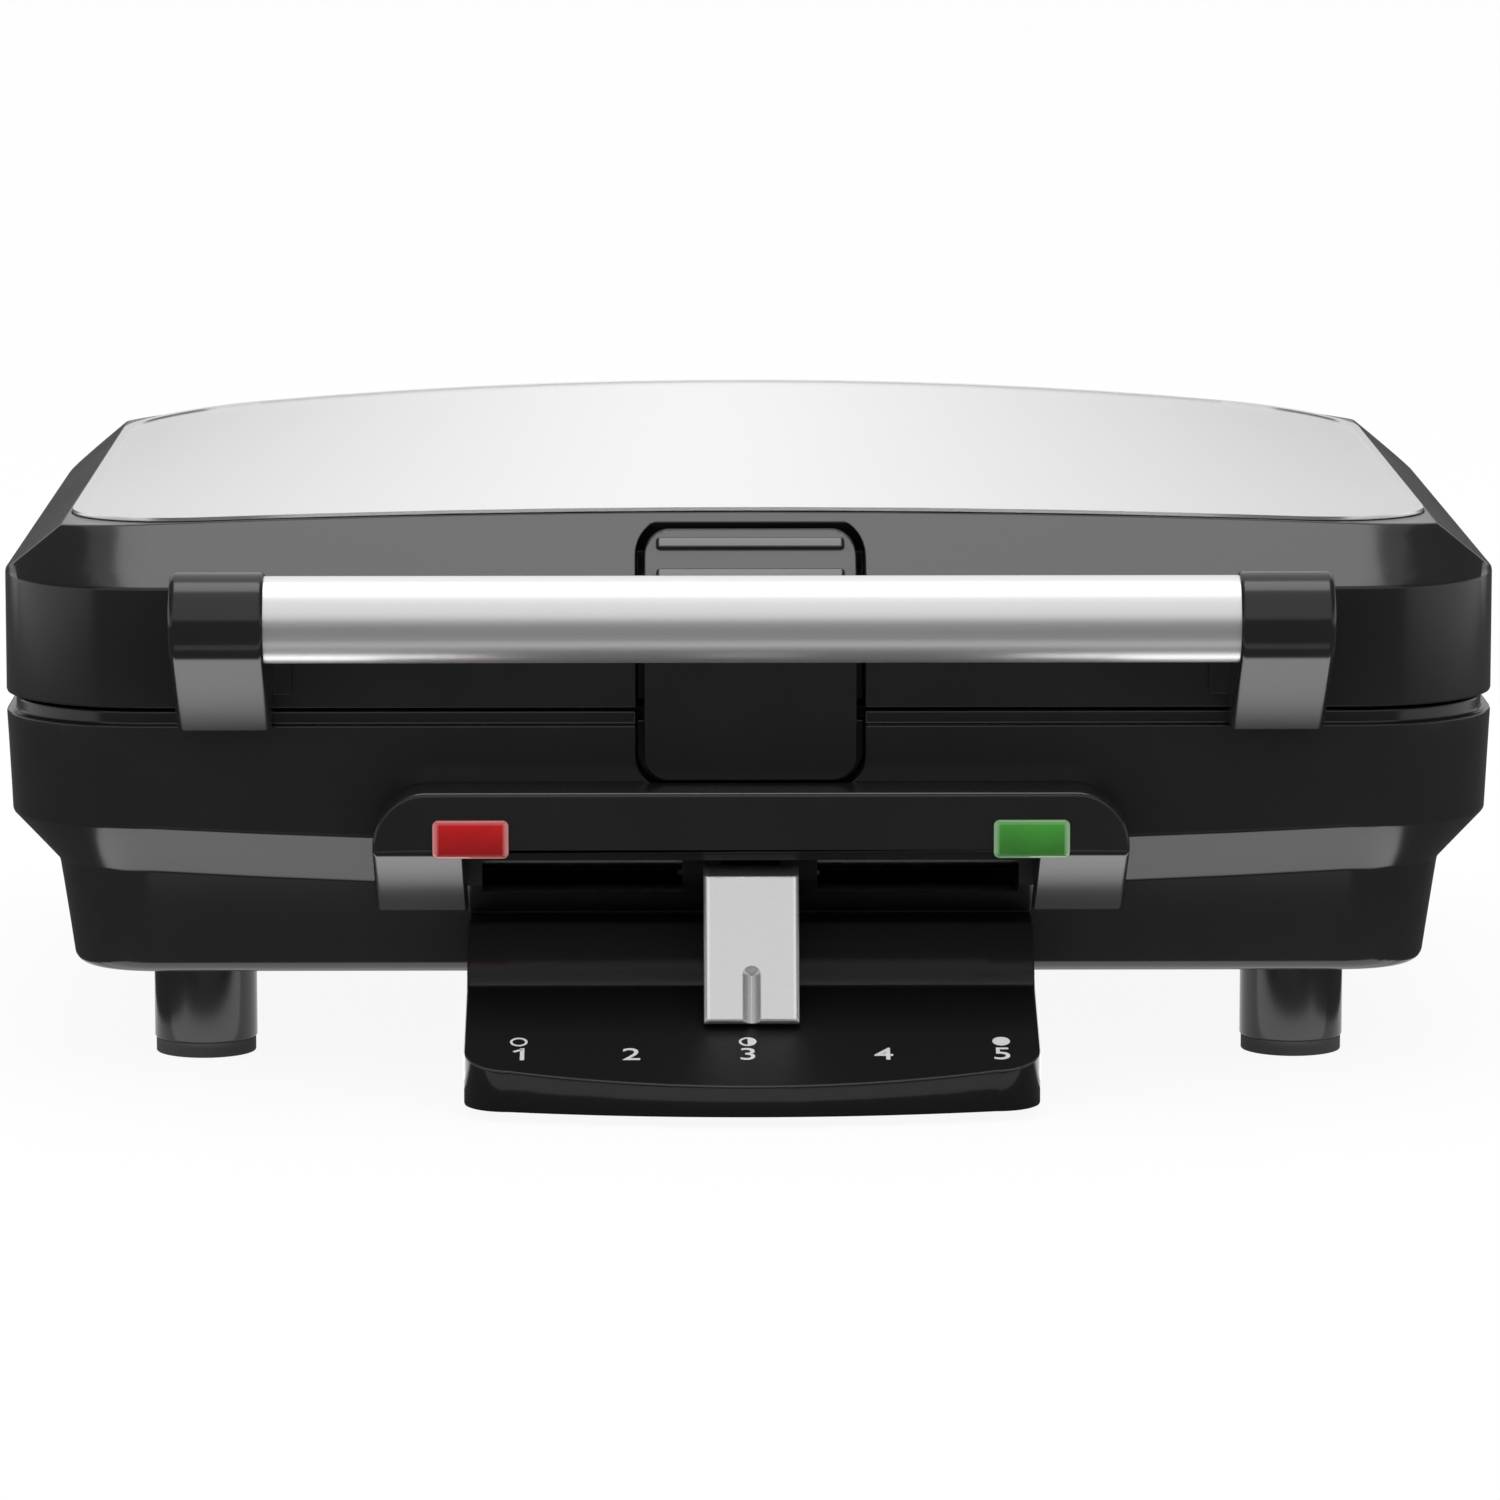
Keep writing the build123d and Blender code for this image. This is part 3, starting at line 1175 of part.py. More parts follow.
def make_hinge_arm(side, lid):
    """Plate on the lid's rear wall with the knuckle that turns on the pin."""
    x = side * HINGE_X
    low = Z_LID_BOTTOM + FLANGE_CLEAR
    high = low + ARM_PLATE_H
    arm = box(x - ARM_HALF, x + ARM_HALF, BODY_D, BODY_D + HINGE_PLATE_T, low, high)
    arm += side_profile(
        [
            (BODY_D, low),
            (HINGE_Y - KNUCKLE_R / 2, HINGE_Z),
            (HINGE_Y, HINGE_Z),
            (HINGE_Y + KNUCKLE_R, HINGE_Z),
            (BODY_D + HINGE_PLATE_T, high),
            (BODY_D, high),
        ],
        x - ARM_HALF,
        x + ARM_HALF,
    )
    arm += rod_x(2 * KNUCKLE_R, x - ARM_HALF, x + ARM_HALF, HINGE_Y, HINGE_Z)
    arm -= lid
    return arm - rod_x(HINGE_PIN_D + 2 * FIT, x - ARM_HALF, x + ARM_HALF, HINGE_Y, HINGE_Z)


def make_hinge_pin(side):
    """Headed pin through both cheeks and the knuckle."""
    x = side * HINGE_X
    half = ARM_HALF + CHEEK_GAP + CHEEK_T
    pin = rod_x(HINGE_PIN_D, x - half, x + half, HINGE_Y, HINGE_Z)
    for near, far in ((-half - PIN_HEAD_T, -half), (half, half + PIN_HEAD_T)):
        pin += rod_x(2 * PIN_HEAD_R, x + near, x + far, HINGE_Y, HINGE_Z)
    return pin


# Fasteners in groups
def make_control_screws():
    """Screws that hold the visor and the tongue from inside the base."""
    towards_front = Rot(90, 0, 0)
    upper = towards_front * screw(SMALL_SCREW_D, BASE_INSET + SCREW_GRIP - TIP_ROOM)
    seat = lower_inset(TONGUE_SCREW_Z - SMALL_SCREW_D) + WALL
    lower = towards_front * screw(SMALL_SCREW_D, WALL + SCREW_GRIP - 2 * TIP_ROOM)
    screws = []
    for side in (-1, 1):
        screws.append(Pos(side * CONTROL_SCREW_X, BASE_INSET, CONTROL_SCREW_Z) * upper)
        screws.append(Pos(side * TONGUE_SCREW_X, seat, TONGUE_SCREW_Z) * lower)
    return Compound([piece.solid() for piece in screws])


def make_nodes():
    """All pieces by name."""
    base = make_base_outer()
    lid = make_lid_outer()
    visor = make_visor_block(base)
    nodes = {
        "base_housing": make_base_housing(base),
        "bottom_cover": make_bottom_cover(),
        "bottom_screws": pattern(
            screw(SMALL_SCREW_D, FLOOR_T - SCREW_CLEAR), cover_screw_places(Z_BOTTOM)
        ),
        "lower_baking_plate": Pos(0, 0, Z_LOWER_RIM) * make_baking_plate(BASE_WELL_DEPTH + WELL_WALL),
        "lower_heating_element": make_element(Z_LOWER_BACK - ELEMENT_D / 2 - ELEMENT_CLEAR),
        "lower_reflector": Pos(0, 0, Z_LOWER_BACK) * make_tray(),
        "lower_plate_screws": pattern(
            screw(PLATE_SCREW_D, 2 * SCREW_GRIP), post_places(Z_LOWER_BACK - SCREW_GRIP)
        ),
        "control_panel": make_control_panel(visor, base),
        "slot_plate": make_slot_plate(visor),
        "control_tongue": make_tongue(base),
        "control_screws": make_control_screws(),
        "red_lens": make_lens(-1),
        "green_lens": make_lens(1),
        "red_lamp": make_lamp(-1),
        "green_lamp": make_lamp(1),
        "slider_rail": make_rail(),
        "slider_knob": make_knob(),
        "slider_carrier": make_carrier(),
        "thermostat": make_thermostat(),
        "thermostat_bracket": make_thermostat_bracket(),
        "thermostat_plunger": make_plunger(),
        "thermal_fuse": make_fuse(),
        "terminal_block": make_terminal_block(),
        "cord_gland": make_gland(base),
        "lid_housing": make_lid_housing(lid),
        "lid_top_panel": make_panel(),
        "upper_heating_element": make_element(Z_UPPER_BACK + ELEMENT_D / 2 + ELEMENT_CLEAR),
        "upper_reflector": Pos(0, 0, Z_UPPER_BACK) * mirror(make_tray(), about=Plane.XY),
        "upper_plate_screws": pattern(
            Rot(180, 0, 0) * screw(PLATE_SCREW_D, 2 * SCREW_GRIP), post_places(Z_UPPER_BACK + SCREW_GRIP)
        ),
        "handle_bar": make_bar(),
        "handle_screws": pattern(
            Rot(90, 0, 0) * screw(SMALL_SCREW_D, WALL + SCREW_GRIP - TIP_ROOM),
            [(x, WALL, z) for x, z in handle_screw_places()],
        ),
        "latch": make_latch(),
        "latch_pin": make_latch_pin(),
        "latch_spring": make_latch_spring(),
    }
    upper = mirror(make_baking_plate(WELL_DEPTH + WELL_WALL), about=Plane.XY)
    nodes["upper_baking_plate"] = Pos(0, 0, Z_UPPER_RIM) * upper
    for name, side in SIDES.items():
        nodes[f"handle_bracket_{name}"] = make_bracket(side, lid)
        nodes[f"hinge_bracket_{name}"] = make_hinge_bracket(side, base)
        nodes[f"hinge_arm_{name}"] = make_hinge_arm(side, lid)
        nodes[f"hinge_pin_{name}"] = make_hinge_pin(side)
        for end, y in ENDS.items():
            nodes[f"foot_{end}_{name}"] = make_foot(side * FOOT_X, y)
            nodes[f"foot_pad_{end}_{name}"] = make_foot_pad(side * FOOT_X, y)
    return nodes


os.makedirs("parts", exist_ok=True)
for node, shape in make_nodes().items():
    export_step(Pos(0, -CENTRE_Y, 0) * shape, f"parts/{node}.step")
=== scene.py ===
"""Looks of a four-slice waffle maker, modelled round its CAD frame and laid out as an add-on."""
import json
from math import atan2, pi, radians

import bpy
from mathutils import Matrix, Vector

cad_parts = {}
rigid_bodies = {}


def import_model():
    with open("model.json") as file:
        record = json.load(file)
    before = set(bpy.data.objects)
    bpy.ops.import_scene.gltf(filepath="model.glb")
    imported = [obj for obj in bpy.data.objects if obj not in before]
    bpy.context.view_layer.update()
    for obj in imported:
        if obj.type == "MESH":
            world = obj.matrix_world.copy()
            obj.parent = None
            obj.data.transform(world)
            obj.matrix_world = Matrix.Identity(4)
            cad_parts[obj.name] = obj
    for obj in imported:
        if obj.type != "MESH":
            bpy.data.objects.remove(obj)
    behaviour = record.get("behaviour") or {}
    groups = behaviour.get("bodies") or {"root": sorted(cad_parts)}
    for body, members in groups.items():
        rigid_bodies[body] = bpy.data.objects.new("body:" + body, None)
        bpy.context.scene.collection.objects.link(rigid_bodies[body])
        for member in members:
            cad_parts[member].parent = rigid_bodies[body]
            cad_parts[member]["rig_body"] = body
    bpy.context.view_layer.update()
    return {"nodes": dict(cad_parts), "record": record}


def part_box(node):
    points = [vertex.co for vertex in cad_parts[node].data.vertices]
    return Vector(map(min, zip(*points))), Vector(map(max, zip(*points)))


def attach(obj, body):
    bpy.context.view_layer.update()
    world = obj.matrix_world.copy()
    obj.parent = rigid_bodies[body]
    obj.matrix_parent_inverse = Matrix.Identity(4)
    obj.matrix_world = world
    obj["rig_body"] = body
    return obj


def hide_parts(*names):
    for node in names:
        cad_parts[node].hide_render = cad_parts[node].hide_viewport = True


bl_info = {
    "name": "Waffle maker looks",
    "version": (1, 0, 0),
    "blender": (4, 5, 0),
    "location": "View3D > Sidebar > Waffle maker",
    "description": "Models and finishes a waffle maker over its CAD frame",
    "category": "Object",
}

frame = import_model()
MM = 0.001
SIDES = ("left", "right")
ENDS = ("front", "rear")

# Copies of CAD meshes: the distance that merges, and the angles that are flat, rounded and smooth
MERGE = 2e-6
FLAT_ANGLE = radians(0.2)
EDGE_ANGLE = radians(28)
SMOOTH_ANGLE = radians(32)

# Least part of a normal in a face that looks up, and in one that looks up and forwards
UPWARDS = 0.9
SLANTED = 0.4

# Vents in a row, a screw's proportions to its shank, and how much of its head counts as an end
HOODS = 9
HEAD_WIDTH = 1.9
HEAD_HEIGHT = 0.6
SLIT_LENGTH = 1.1
SLIT_WIDTH = 0.22
NEAR_END = 0.01

# Flag of the digit 1, in proportion to its stroke
FLAG_LENGTH = 2.4
FLAG_WIDTH = 0.8
FLAG_LEFT = 0.5
FLAG_DROP = 1.25
FLAG_SLOPE = radians(34)

# Floor, dark card and surroundings
FLOOR_SIZE = 12.0
FLOOR_WHITE = 1.04
FLOOR_SHOWN = 0.88
CARD_HALF = 0.8
CARD_HOLE = 0.155
CARD_Y = 0.04
CARD_Z = 0.0008
CARD_SIDE_FOOT = 0.25
CARD_SIDE_RISE = 1.5
CARD_END_RISE = 0.16
LIGHT_GREY = 0.75
SIDE_REACH = 0.1
SIDE_GREY = 0.68

# Place, turn about X and size of each lamp
LAMPS = {
    "overhead": ((0, -0.02, 1.5), 0, (0.95, 0.75)),
    "floor_glow": ((0, -0.095, 0.002), pi, (0.31, 0.036)),
    "front_glow": ((0, -0.185, 0.002), pi, (0.28, 0.03)),
}


# Sizes and colours that a user would change
def length(title, default, description):
    """Length in metres."""
    return bpy.props.FloatProperty(
        name=title, description=description, default=default, min=0.0, precision=5, unit="LENGTH"
    )


def colour(title, default, description):
    """Colour without alpha."""
    return bpy.props.FloatVectorProperty(
        name=title,
        description=description,
        default=default,
        size=3,
        min=0.0,
        max=1.0,
        subtype="COLOR",
    )


def lamp_power(title, default, description):
    """Power of a lamp in watts."""
    return bpy.props.FloatProperty(
        name=title, description=description, default=default, min=0.0, unit="POWER"
    )


class WaffleMakerSizes(bpy.types.PropertyGroup):
    """Sizes of the details that the looks add."""

    shell_edge: length("Shell edge", 0.5 * MM, "Radius along the edges of lid and base")
    trim_edge: length("Trim edge", 0.5 * MM, "Radius along the edges of small mouldings")
    visor_edge: length("Visor edge", 1.0 * MM, "Radius along the edges of the visor")
    knob_edge: length("Knob edge", 0.25 * MM, "Radius along the edges of the slider knob")
    lens_edge: length("Lens edge", 0.6 * MM, "Radius along the edges of the lenses")
    casting_edge: length("Casting edge", 0.7 * MM, "Radius along the edges of the cast grids")
    sheet_edge: length("Sheet edge", 0.2 * MM, "Radius along the edges of sheet metal")
    # Depth of the band of latch rib tops that carries the painted highlight
    rib_skin: length("Rib skin", 0.1 * MM, "Depth of the latch ribs' worn tops")
    pad_rim: length("Pad rim", 3.0 * MM, "Width of the ring that a foot pad stands on")
    pad_hollow: length("Pad hollow", 0.8 * MM, "Depth of the hollow inside that ring")
    pad_edge: length("Pad edge", 0.3 * MM, "Radius along the edges of the feet and pads")
    cover_screw: length("Cover screw", 3.0 * MM, "Shank diameter of the bottom cover's screws")
    plate_screw: length("Plate screw", 4.0 * MM, "Shank diameter of the screws that hold the grids")
    hood_radius: length("Hood radius", 2.6 * MM, "Radius of the pressed hoods over the vents")
    hood_length: length("Hood length", 28.0 * MM, "Length of the pressed hoods over the vents")
    hood_sheet: length("Hood sheet", 0.6 * MM, "Thickness of the pressed hoods")
    hood_gap: length("Hood gap", 1.2 * MM, "Height of the open side of a hood")
    hood_pitch: length("Hood pitch", 9.0 * MM, "Step from vent to vent")
    hood_rows: length("Hood rows", 46.0 * MM, "Distance between the two rows of vents")
    digit_height: length("Digit height", 4.9 * MM, "Height of the digits on the browning scale")
    digit_bold: bpy.props.FloatProperty(
        name="Digit weight", description="Thickening of the digits' strokes", default=0.004, min=0.0
    )
    digit_width: bpy.props.FloatProperty(
        name="Digit width",
        description="Widening of the digits",
        default=1.15,
        subtype="FACTOR",
        min=0.5,
    )
    digit_places: bpy.props.FloatVectorProperty(
        name="Digit places",
        description="Places of the five digits across the scale",
        default=(-47.0 * MM, -24.3 * MM, -0.9 * MM, 26.4 * MM, 50.2 * MM),
        size=5,
        unit="LENGTH",
    )
    digit_y: length("Digit row", 140.2 * MM, "Row of the digits in front of the middle")
    mark_y: length("Mark row", 135.3 * MM, "Row of the round marks in front of the middle")
    mark_width: length("Mark width", 3.55 * MM, "Diameter of the round marks")
    mark_line: length("Mark line", 0.5 * MM, "Line width of the round marks")
    ink: length("Ink", 0.06 * MM, "Thickness of the printed marks")


class WaffleMakerColours(bpy.types.PropertyGroup):
    """Colours of the finishes."""

    black: colour("Black plastic", (0.0165, 0.0165, 0.018), "Glossy moulded shells")
    # Colour of the painted highlight on the tops of the latch ribs
    grip: colour("Grip", (0.12, 0.12, 0.121), "Worn tops of the latch ribs")
    steel: colour("Stainless", (0.97, 0.97, 0.975), "Top panel")
    aluminium: colour("Aluminium", (0.93, 0.93, 0.94), "Handle bar")
    silver: colour("Silver", (0.79, 0.79, 0.8), "Slider knob")
    coating: colour("Coating", (0.022, 0.022, 0.023), "Non-stick grids")
    rubber: colour("Rubber", (0.06, 0.06, 0.062), "Foot pads")
    red: colour("Red lens", (0.62, 0.012, 0.014), "Left lens")
    green: colour("Green lens", (0.07, 0.36, 0.05), "Right lens")
    print_white: colour("Print", (0.92, 0.92, 0.92), "Digits and marks of the scale")
    ceramic: colour("Ceramic", (0.78, 0.76, 0.7), "Insulating bodies")
    zinc: colour("Zinc", (0.62, 0.62, 0.6), "Screws and pins")
    floor: colour("Floor", (0.8, 0.8, 0.8), "Studio floor")
    card: colour("Card", (0.1, 0.1, 0.1), "Dark card that the glossy sides mirror")


class WaffleMakerStudio(bpy.types.PropertyGroup):
    """Camera and lamps."""

    lens: bpy.props.FloatProperty(
        name="Lens", description="Focal length in millimetres", default=193.1, min=1.0
    )
    camera_x: bpy.props.FloatProperty(
        name="Camera X", description="Camera left of the middle", default=-0.016, unit="LENGTH"
    )
    camera_y: bpy.props.FloatProperty(
        name="Camera Y", description="Camera in front of the origin", default=-1.7312, unit="LENGTH"
    )
    camera_z: length("Camera height", 0.3053, "Camera over the floor")
    pitch: bpy.props.FloatProperty(
        name="Pitch",
        description="Camera tilt below the horizon",
        default=radians(8.26),
        subtype="ANGLE",
    )
    yaw: bpy.props.FloatProperty(
        name="Yaw",
        description="Camera turn to the right",
        default=radians(0.559),
        subtype="ANGLE",
    )
    overhead: lamp_power("Overhead", 5.6, "Softbox over the object")
    floor_glow: lamp_power("Floor glow", 0.038, "Light from the floor under the front")
    front_glow: lamp_power("Front glow", 0.014, "Light from the floor in front")


def sizes():
    """Sizes of this scene."""
    return bpy.context.scene.waffle_maker_sizes


def colours():
    """Colours of this scene."""
    return bpy.context.scene.waffle_maker_colours


# Shader maths
class Value:
    """Socket of a finish's node, with the arithmetic that the finishes use."""

    def __init__(self, finish, socket):
        self.finish = finish
        self.socket = socket

    def maths(self, operation, first, second):
        """Math node on two values."""
        return self.finish.node("ShaderNodeMath", {"operation": operation}, {0: first, 1: second})

    def __add__(self, other):
        return self.maths("ADD", self, other)

    def __mul__(self, other):
        return self.maths("MULTIPLY", self, other)

    def __sub__(self, other):
        return self.maths("SUBTRACT", self, other)

    def __rsub__(self, other):
        return self.maths("SUBTRACT", other, self)

    def __abs__(self):
        return self.maths("ABSOLUTE", self, 0.0)

    __radd__ = __add__


class Finish:
    """Node tree of a material or world, filled node by node."""

    def __init__(self, owner):
        self.owner = owner
        owner.use_nodes = True
        self.tree = owner.node_tree
        self.tree.nodes.clear()

    def node(self, kind, settings=None, inputs=None, output=0):
        """Adds a node, sets its properties first and then its sockets, and returns one output."""
        made = self.tree.nodes.new(kind)
        for name, value in (settings or {}).items():
            if name == "stops":
                self.set_stops(made.color_ramp, value)
            else:
                setattr(made, name, value)
        for key, value in (inputs or {}).items():
            if isinstance(value, Value):
                self.tree.links.new(value.socket, made.inputs[key])
            else:
                made.inputs[key].default_value = value
        return Value(self, made.outputs[output]) if made.outputs else None

    @staticmethod
    def set_stops(ramp, stops):
        """Places and greys of a ramp's stops."""
        while len(ramp.elements) < len(stops):
            ramp.elements.new(0.5)
        for element, (place, grey) in zip(ramp.elements, stops):
            element.position = place
            element.color = (grey, grey, grey, 1)

    def place(self, scale=(1, 1, 1)):
        """Object coordinates, stretched by a scale."""
        coordinates = self.node("ShaderNodeTexCoord", None, None, "Object")
        return self.node("ShaderNodeMapping", None, {"Vector": coordinates, "Scale": scale})

    def noise(self, where, scale, detail):
        """Cloudy noise from 0 to 1."""
        return self.node(
            "ShaderNodeTexNoise", None, {"Vector": where, "Scale": scale, "Detail": detail}, "Fac"
        )

    def reach(self, node, axis):
        """Place across a CAD node's box, from -1 to 1."""
        index = "XYZ".index(axis)
        low, high = (corner[index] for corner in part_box(node))
        along = self.node("ShaderNodeSeparateXYZ", None, {"Vector": self.place()}, axis)
        return (along - (low + high) / 2) * (2 / (high - low))

    def ramp(self, value, stops):
        """Value through a ramp of greys."""
        return self.node("ShaderNodeValToRGB", {"stops": stops}, {"Fac": value})

    def mix(self, factor, first, second):
        """Colour between two colours."""
        first, second = (c if isinstance(c, Value) else (*c, 1) for c in (first, second))
        inputs = {0: factor, 6: first, 7: second}
        return self.node("ShaderNodeMix", {"data_type": "RGBA"}, inputs, 2)

    def bump(self, height, strength, distance):
        """Normal from a height."""
        return self.node(
            "ShaderNodeBump", None, {"Height": height, "Strength": strength, "Distance": distance}
        )

    def surface(self, inputs):
        """Principled surface as the finish's output."""
        shader = self.node("ShaderNodeBsdfPrincipled", None, inputs)
        self.node("ShaderNodeOutputMaterial", None, {"Surface": shader})
        return self.owner


def finish_maker(build):
    """Makes a finish once, and gives it again when it is asked for later."""
    name = build.__name__.replace("_", " ") + " finish"

    def give():
        return bpy.data.materials.get(name) or build(Finish(bpy.data.materials.new(name)))

    return give


def shade(rgb, factor):
    """Darker or lighter version of a colour."""
    return tuple(min(1.0, channel * factor) for channel in rgb)


# Finishes
def gloss_inputs(finish):
    """Glossy moulded plastic: a faint orange peel and soft changes of gloss."""
    black = colours().black
    clouds = finish.noise(finish.place(), 38, 4)
    peel = finish.noise(finish.place(), 900, 2)
    return {
        "Base Color": finish.mix(clouds, shade(black, 0.8), shade(black, 1.25)),
        "Roughness": 0.15 + clouds * 0.06,
        "IOR": 1.49,
        "Normal": finish.bump(peel, 0.015, 0.02 * MM),
    }


@finish_maker
def gloss_black(finish):
    """Glossy black of the housings and the handle's ends."""
    return finish.surface(gloss_inputs(finish))


@finish_maker
def scale_black(finish):
    """Scale plate with an evenly satined top and glossy sides."""
    black = colours().black
    grain = finish.noise(finish.place(), 1700, 3)
    satin = finish.node("ShaderNodeAttribute", {"attribute_name": "satin"}, None, "Fac")
    return finish.surface(
        {
            "Base Color": finish.mix(grain, shade(black, 0.25), shade(black, 0.4)),
            "Roughness": 0.46 + grain * 0.1,
            "Specular IOR Level": 0.2,
            "Coat Weight": 1.0 - satin,
            "Coat Roughness": 0.08,
            "Normal": finish.bump(grain, 0.08, 0.03 * MM),
        }
    )


@finish_maker
def grip_black(finish):
    """Glossy latch with a painted highlight that makes the tops of its thumb ribs paler."""
    inputs = gloss_inputs(finish)
    # Painted highlight: paler colour on the rib tops, standing in for their reflection
    rib = finish.node("ShaderNodeAttribute", {"attribute_name": "rib"}, None, "Fac")
    inputs["Base Color"] = finish.mix(rib, inputs["Base Color"], colours().grip)
    return finish.surface(inputs)


@finish_maker
def satin_black(finish):
    """Finely textured black moulding of the parts out of sight."""
    black = colours().black
    grain = finish.noise(finish.place(), 1400, 3)
    return finish.surface(
        {
            "Base Color": finish.mix(grain, shade(black, 0.9), shade(black, 1.8)),
            "Roughness": 0.34 + grain * 0.16,
            "Normal": finish.bump(grain, 0.25, 0.05 * MM),
        }
    )


@finish_maker
def stainless(finish):
    """Bright sheet, brushed along X."""
    steel = colours().steel
    lines = finish.noise(finish.place((6, 900, 900)), 1.6, 5)
    clouds = finish.noise(finish.place(), 14, 3)
    return finish.surface(
        {
            "Base Color": finish.mix(lines, shade(steel, 0.96), shade(steel, 1.03)),
            "Metallic": 1.0,
            "Roughness": 0.18 + lines * 0.08 + clouds * 0.04,
            "Normal": finish.bump(lines, 0.02, 0.02 * MM),
        }
    )


@finish_maker
def satin_aluminium(finish):
    """Drawn tube with fine lines along it."""
    metal = colours().aluminium
    lines = finish.noise(finish.place((5, 1100, 1100)), 1.4, 5)
    return finish.surface(
        {
            "Base Color": finish.mix(lines, shade(metal, 0.95), shade(metal, 1.03)),
            "Metallic": 0.84,
            "Roughness": 0.32 + lines * 0.1,
            "Normal": finish.bump(lines, 0.08, 0.02 * MM),
        }
    )


@finish_maker
def silver_coat(finish):
    """Silver lacquer with fine flakes, and a painted highlight that makes it bright along the
    knob's sides.
    """
    silver = colours().silver
    flakes = finish.noise(finish.place(), 5200, 1)
    # Painted highlight along the knob's rounded sides, put into the base colour
    sides = finish.ramp(abs(finish.reach("slider_knob", "X")), [(0.86, 0), (0.9, 1)])
    lacquer = finish.mix(flakes, shade(silver, 0.94), shade(silver, 1.06))
    return finish.surface(
        {
            "Base Color": finish.mix(sides, lacquer, shade(silver, 1.5)),
            "Metallic": 0.9,
            "Roughness": 0.24 + flakes * 0.12,
            "Coat Weight": 0.3,
        }
    )


@finish_maker
def coated_casting(finish):
    """Cast aluminium under a dark non-stick coat with fine speckles."""
    coating = colours().coating
    speckles = finish.ramp(finish.noise(finish.place(), 1500, 1), [(0.62, 0), (0.72, 1)])
    skin = finish.noise(finish.place(), 420, 4)
    return finish.surface(
        {
            "Base Color": finish.mix(speckles, coating, shade(coating, 4)),
            "Roughness": 0.3 + skin * 0.2,
            "Normal": finish.bump(skin, 0.2, 0.08 * MM),
        }
    )


@finish_maker
def aluminised_sheet(finish):
    """Dull bright sheet with spangles."""
    spangle = finish.node(
        "ShaderNodeTexVoronoi", None, {"Vector": finish.place(), "Scale": 190.0}, "Color"
    )
    grey = finish.node("ShaderNodeRGBToBW", None, {"Color": spangle})
    return finish.surface(
        {
            "Base Color": finish.mix(grey, (0.44, 0.44, 0.45), (0.62, 0.62, 0.62)),
            "Metallic": 1.0,
            "Roughness": 0.34 + grey * 0.14,
        }
    )


@finish_maker
def heated_sheath(finish):
    """Element tube, dulled and tinted by heat."""
    tint = finish.noise(finish.place(), 30, 4)
    pits = finish.noise(finish.place(), 900, 2)
    return finish.surface(
        {
            "Base Color": finish.mix(tint, (0.1, 0.085, 0.075), (0.26, 0.24, 0.22)),
            "Metallic": 0.8,
            "Roughness": 0.45 + tint * 0.2,
            "Normal": finish.bump(pits, 0.2, 0.05 * MM),
        }
    )


@finish_maker
def zinc_plate(finish):
    """Plated steel of the screws, pins and rods."""
    zinc = colours().zinc
    film = finish.noise(finish.place(), 260, 3)
    return finish.surface(
        {
            "Base Color": finish.mix(film, shade(zinc, 0.8), shade(zinc, 1.1)),
            "Metallic": 1.0,
            "Roughness": 0.22 + film * 0.2,
        }
    )


@finish_maker
def black_sheet(finish):
    """Black coated steel of the hinges and the bottom cover."""
    grain = finish.noise(finish.place(), 1100, 3)
    return finish.surface(
        {
            "Base Color": finish.mix(grain, (0.009, 0.009, 0.009), (0.022, 0.022, 0.022)),
            "Roughness": 0.4 + grain * 0.2,
            "Normal": finish.bump(grain, 0.3, 0.06 * MM),
        }
    )


@finish_maker
def pad_rubber(finish):
    """Matt grey rubber with a faint bloom."""
    rubber = colours().rubber
    bloom = finish.noise(finish.place(), 160, 4)
    grain = finish.noise(finish.place(), 1800, 2)
    return finish.surface(
        {
            "Base Color": finish.mix(bloom, shade(rubber, 0.75), shade(rubber, 1.2)),
            "Roughness": 0.68 + bloom * 0.2,
            "Normal": finish.bump(grain, 0.3, 0.08 * MM),
        }
    )


@finish_maker
def gland_rubber(finish):
    """Black rubber of the cord bush."""
    grain = finish.noise(finish.place(), 1500, 2)
    return finish.surface(
        {
            "Base Color": finish.mix(grain, (0.01, 0.01, 0.01), (0.02, 0.02, 0.02)),
            "Roughness": 0.55 + grain * 0.2,
            "Normal": finish.bump(grain, 0.3, 0.08 * MM),
        }
    )


def lens_plastic(finish, node, rgb):
    """Translucent plastic with painted shade that darkens it towards its lower edge, a painted
    highlight that makes its rim paler, and a faint painted glow.
    """
    depth = finish.noise(finish.place((1, 1, 2.5)), 160, 3)
    across = finish.reach(node, "X")
    up = finish.reach(node, "Z")
    # Painted shade: darker towards the lens's lower edge, mixed with random tone
    painted_shade_and_tone = finish.node("ShaderNodeClamp", None, {"Value": up * 0.5 + depth * 0.5 + 0.25})
    # Painted highlight: paler colour along the lens rim, where the bevel catches light
    rim = finish.ramp(up.maths("MAXIMUM", abs(across), abs(up)), [(0.83, 0), (0.95, 1)])
    tone = finish.mix(painted_shade_and_tone, shade(rgb, 0.42), rgb)
    painted_rim_highlight = tuple(channel + 0.28 * (1 - channel) for channel in rgb)
    tone = finish.mix(rim, tone, painted_rim_highlight)
    return finish.surface(
        {
            "Base Color": tone,
            "Roughness": 0.08 + depth * 0.05,
            # Faint painted glow from emission, though the lens itself is no lamp
            "Emission Color": tone,
            "Emission Strength": 0.1,
            "Coat Weight": 0.6,
        }
    )


@finish_maker
def red_plastic(finish):
    """Left lens."""
    return lens_plastic(finish, "red_lens", colours().red)


@finish_maker
def green_plastic(finish):
    """Right lens."""
    return lens_plastic(finish, "green_lens", colours().green)


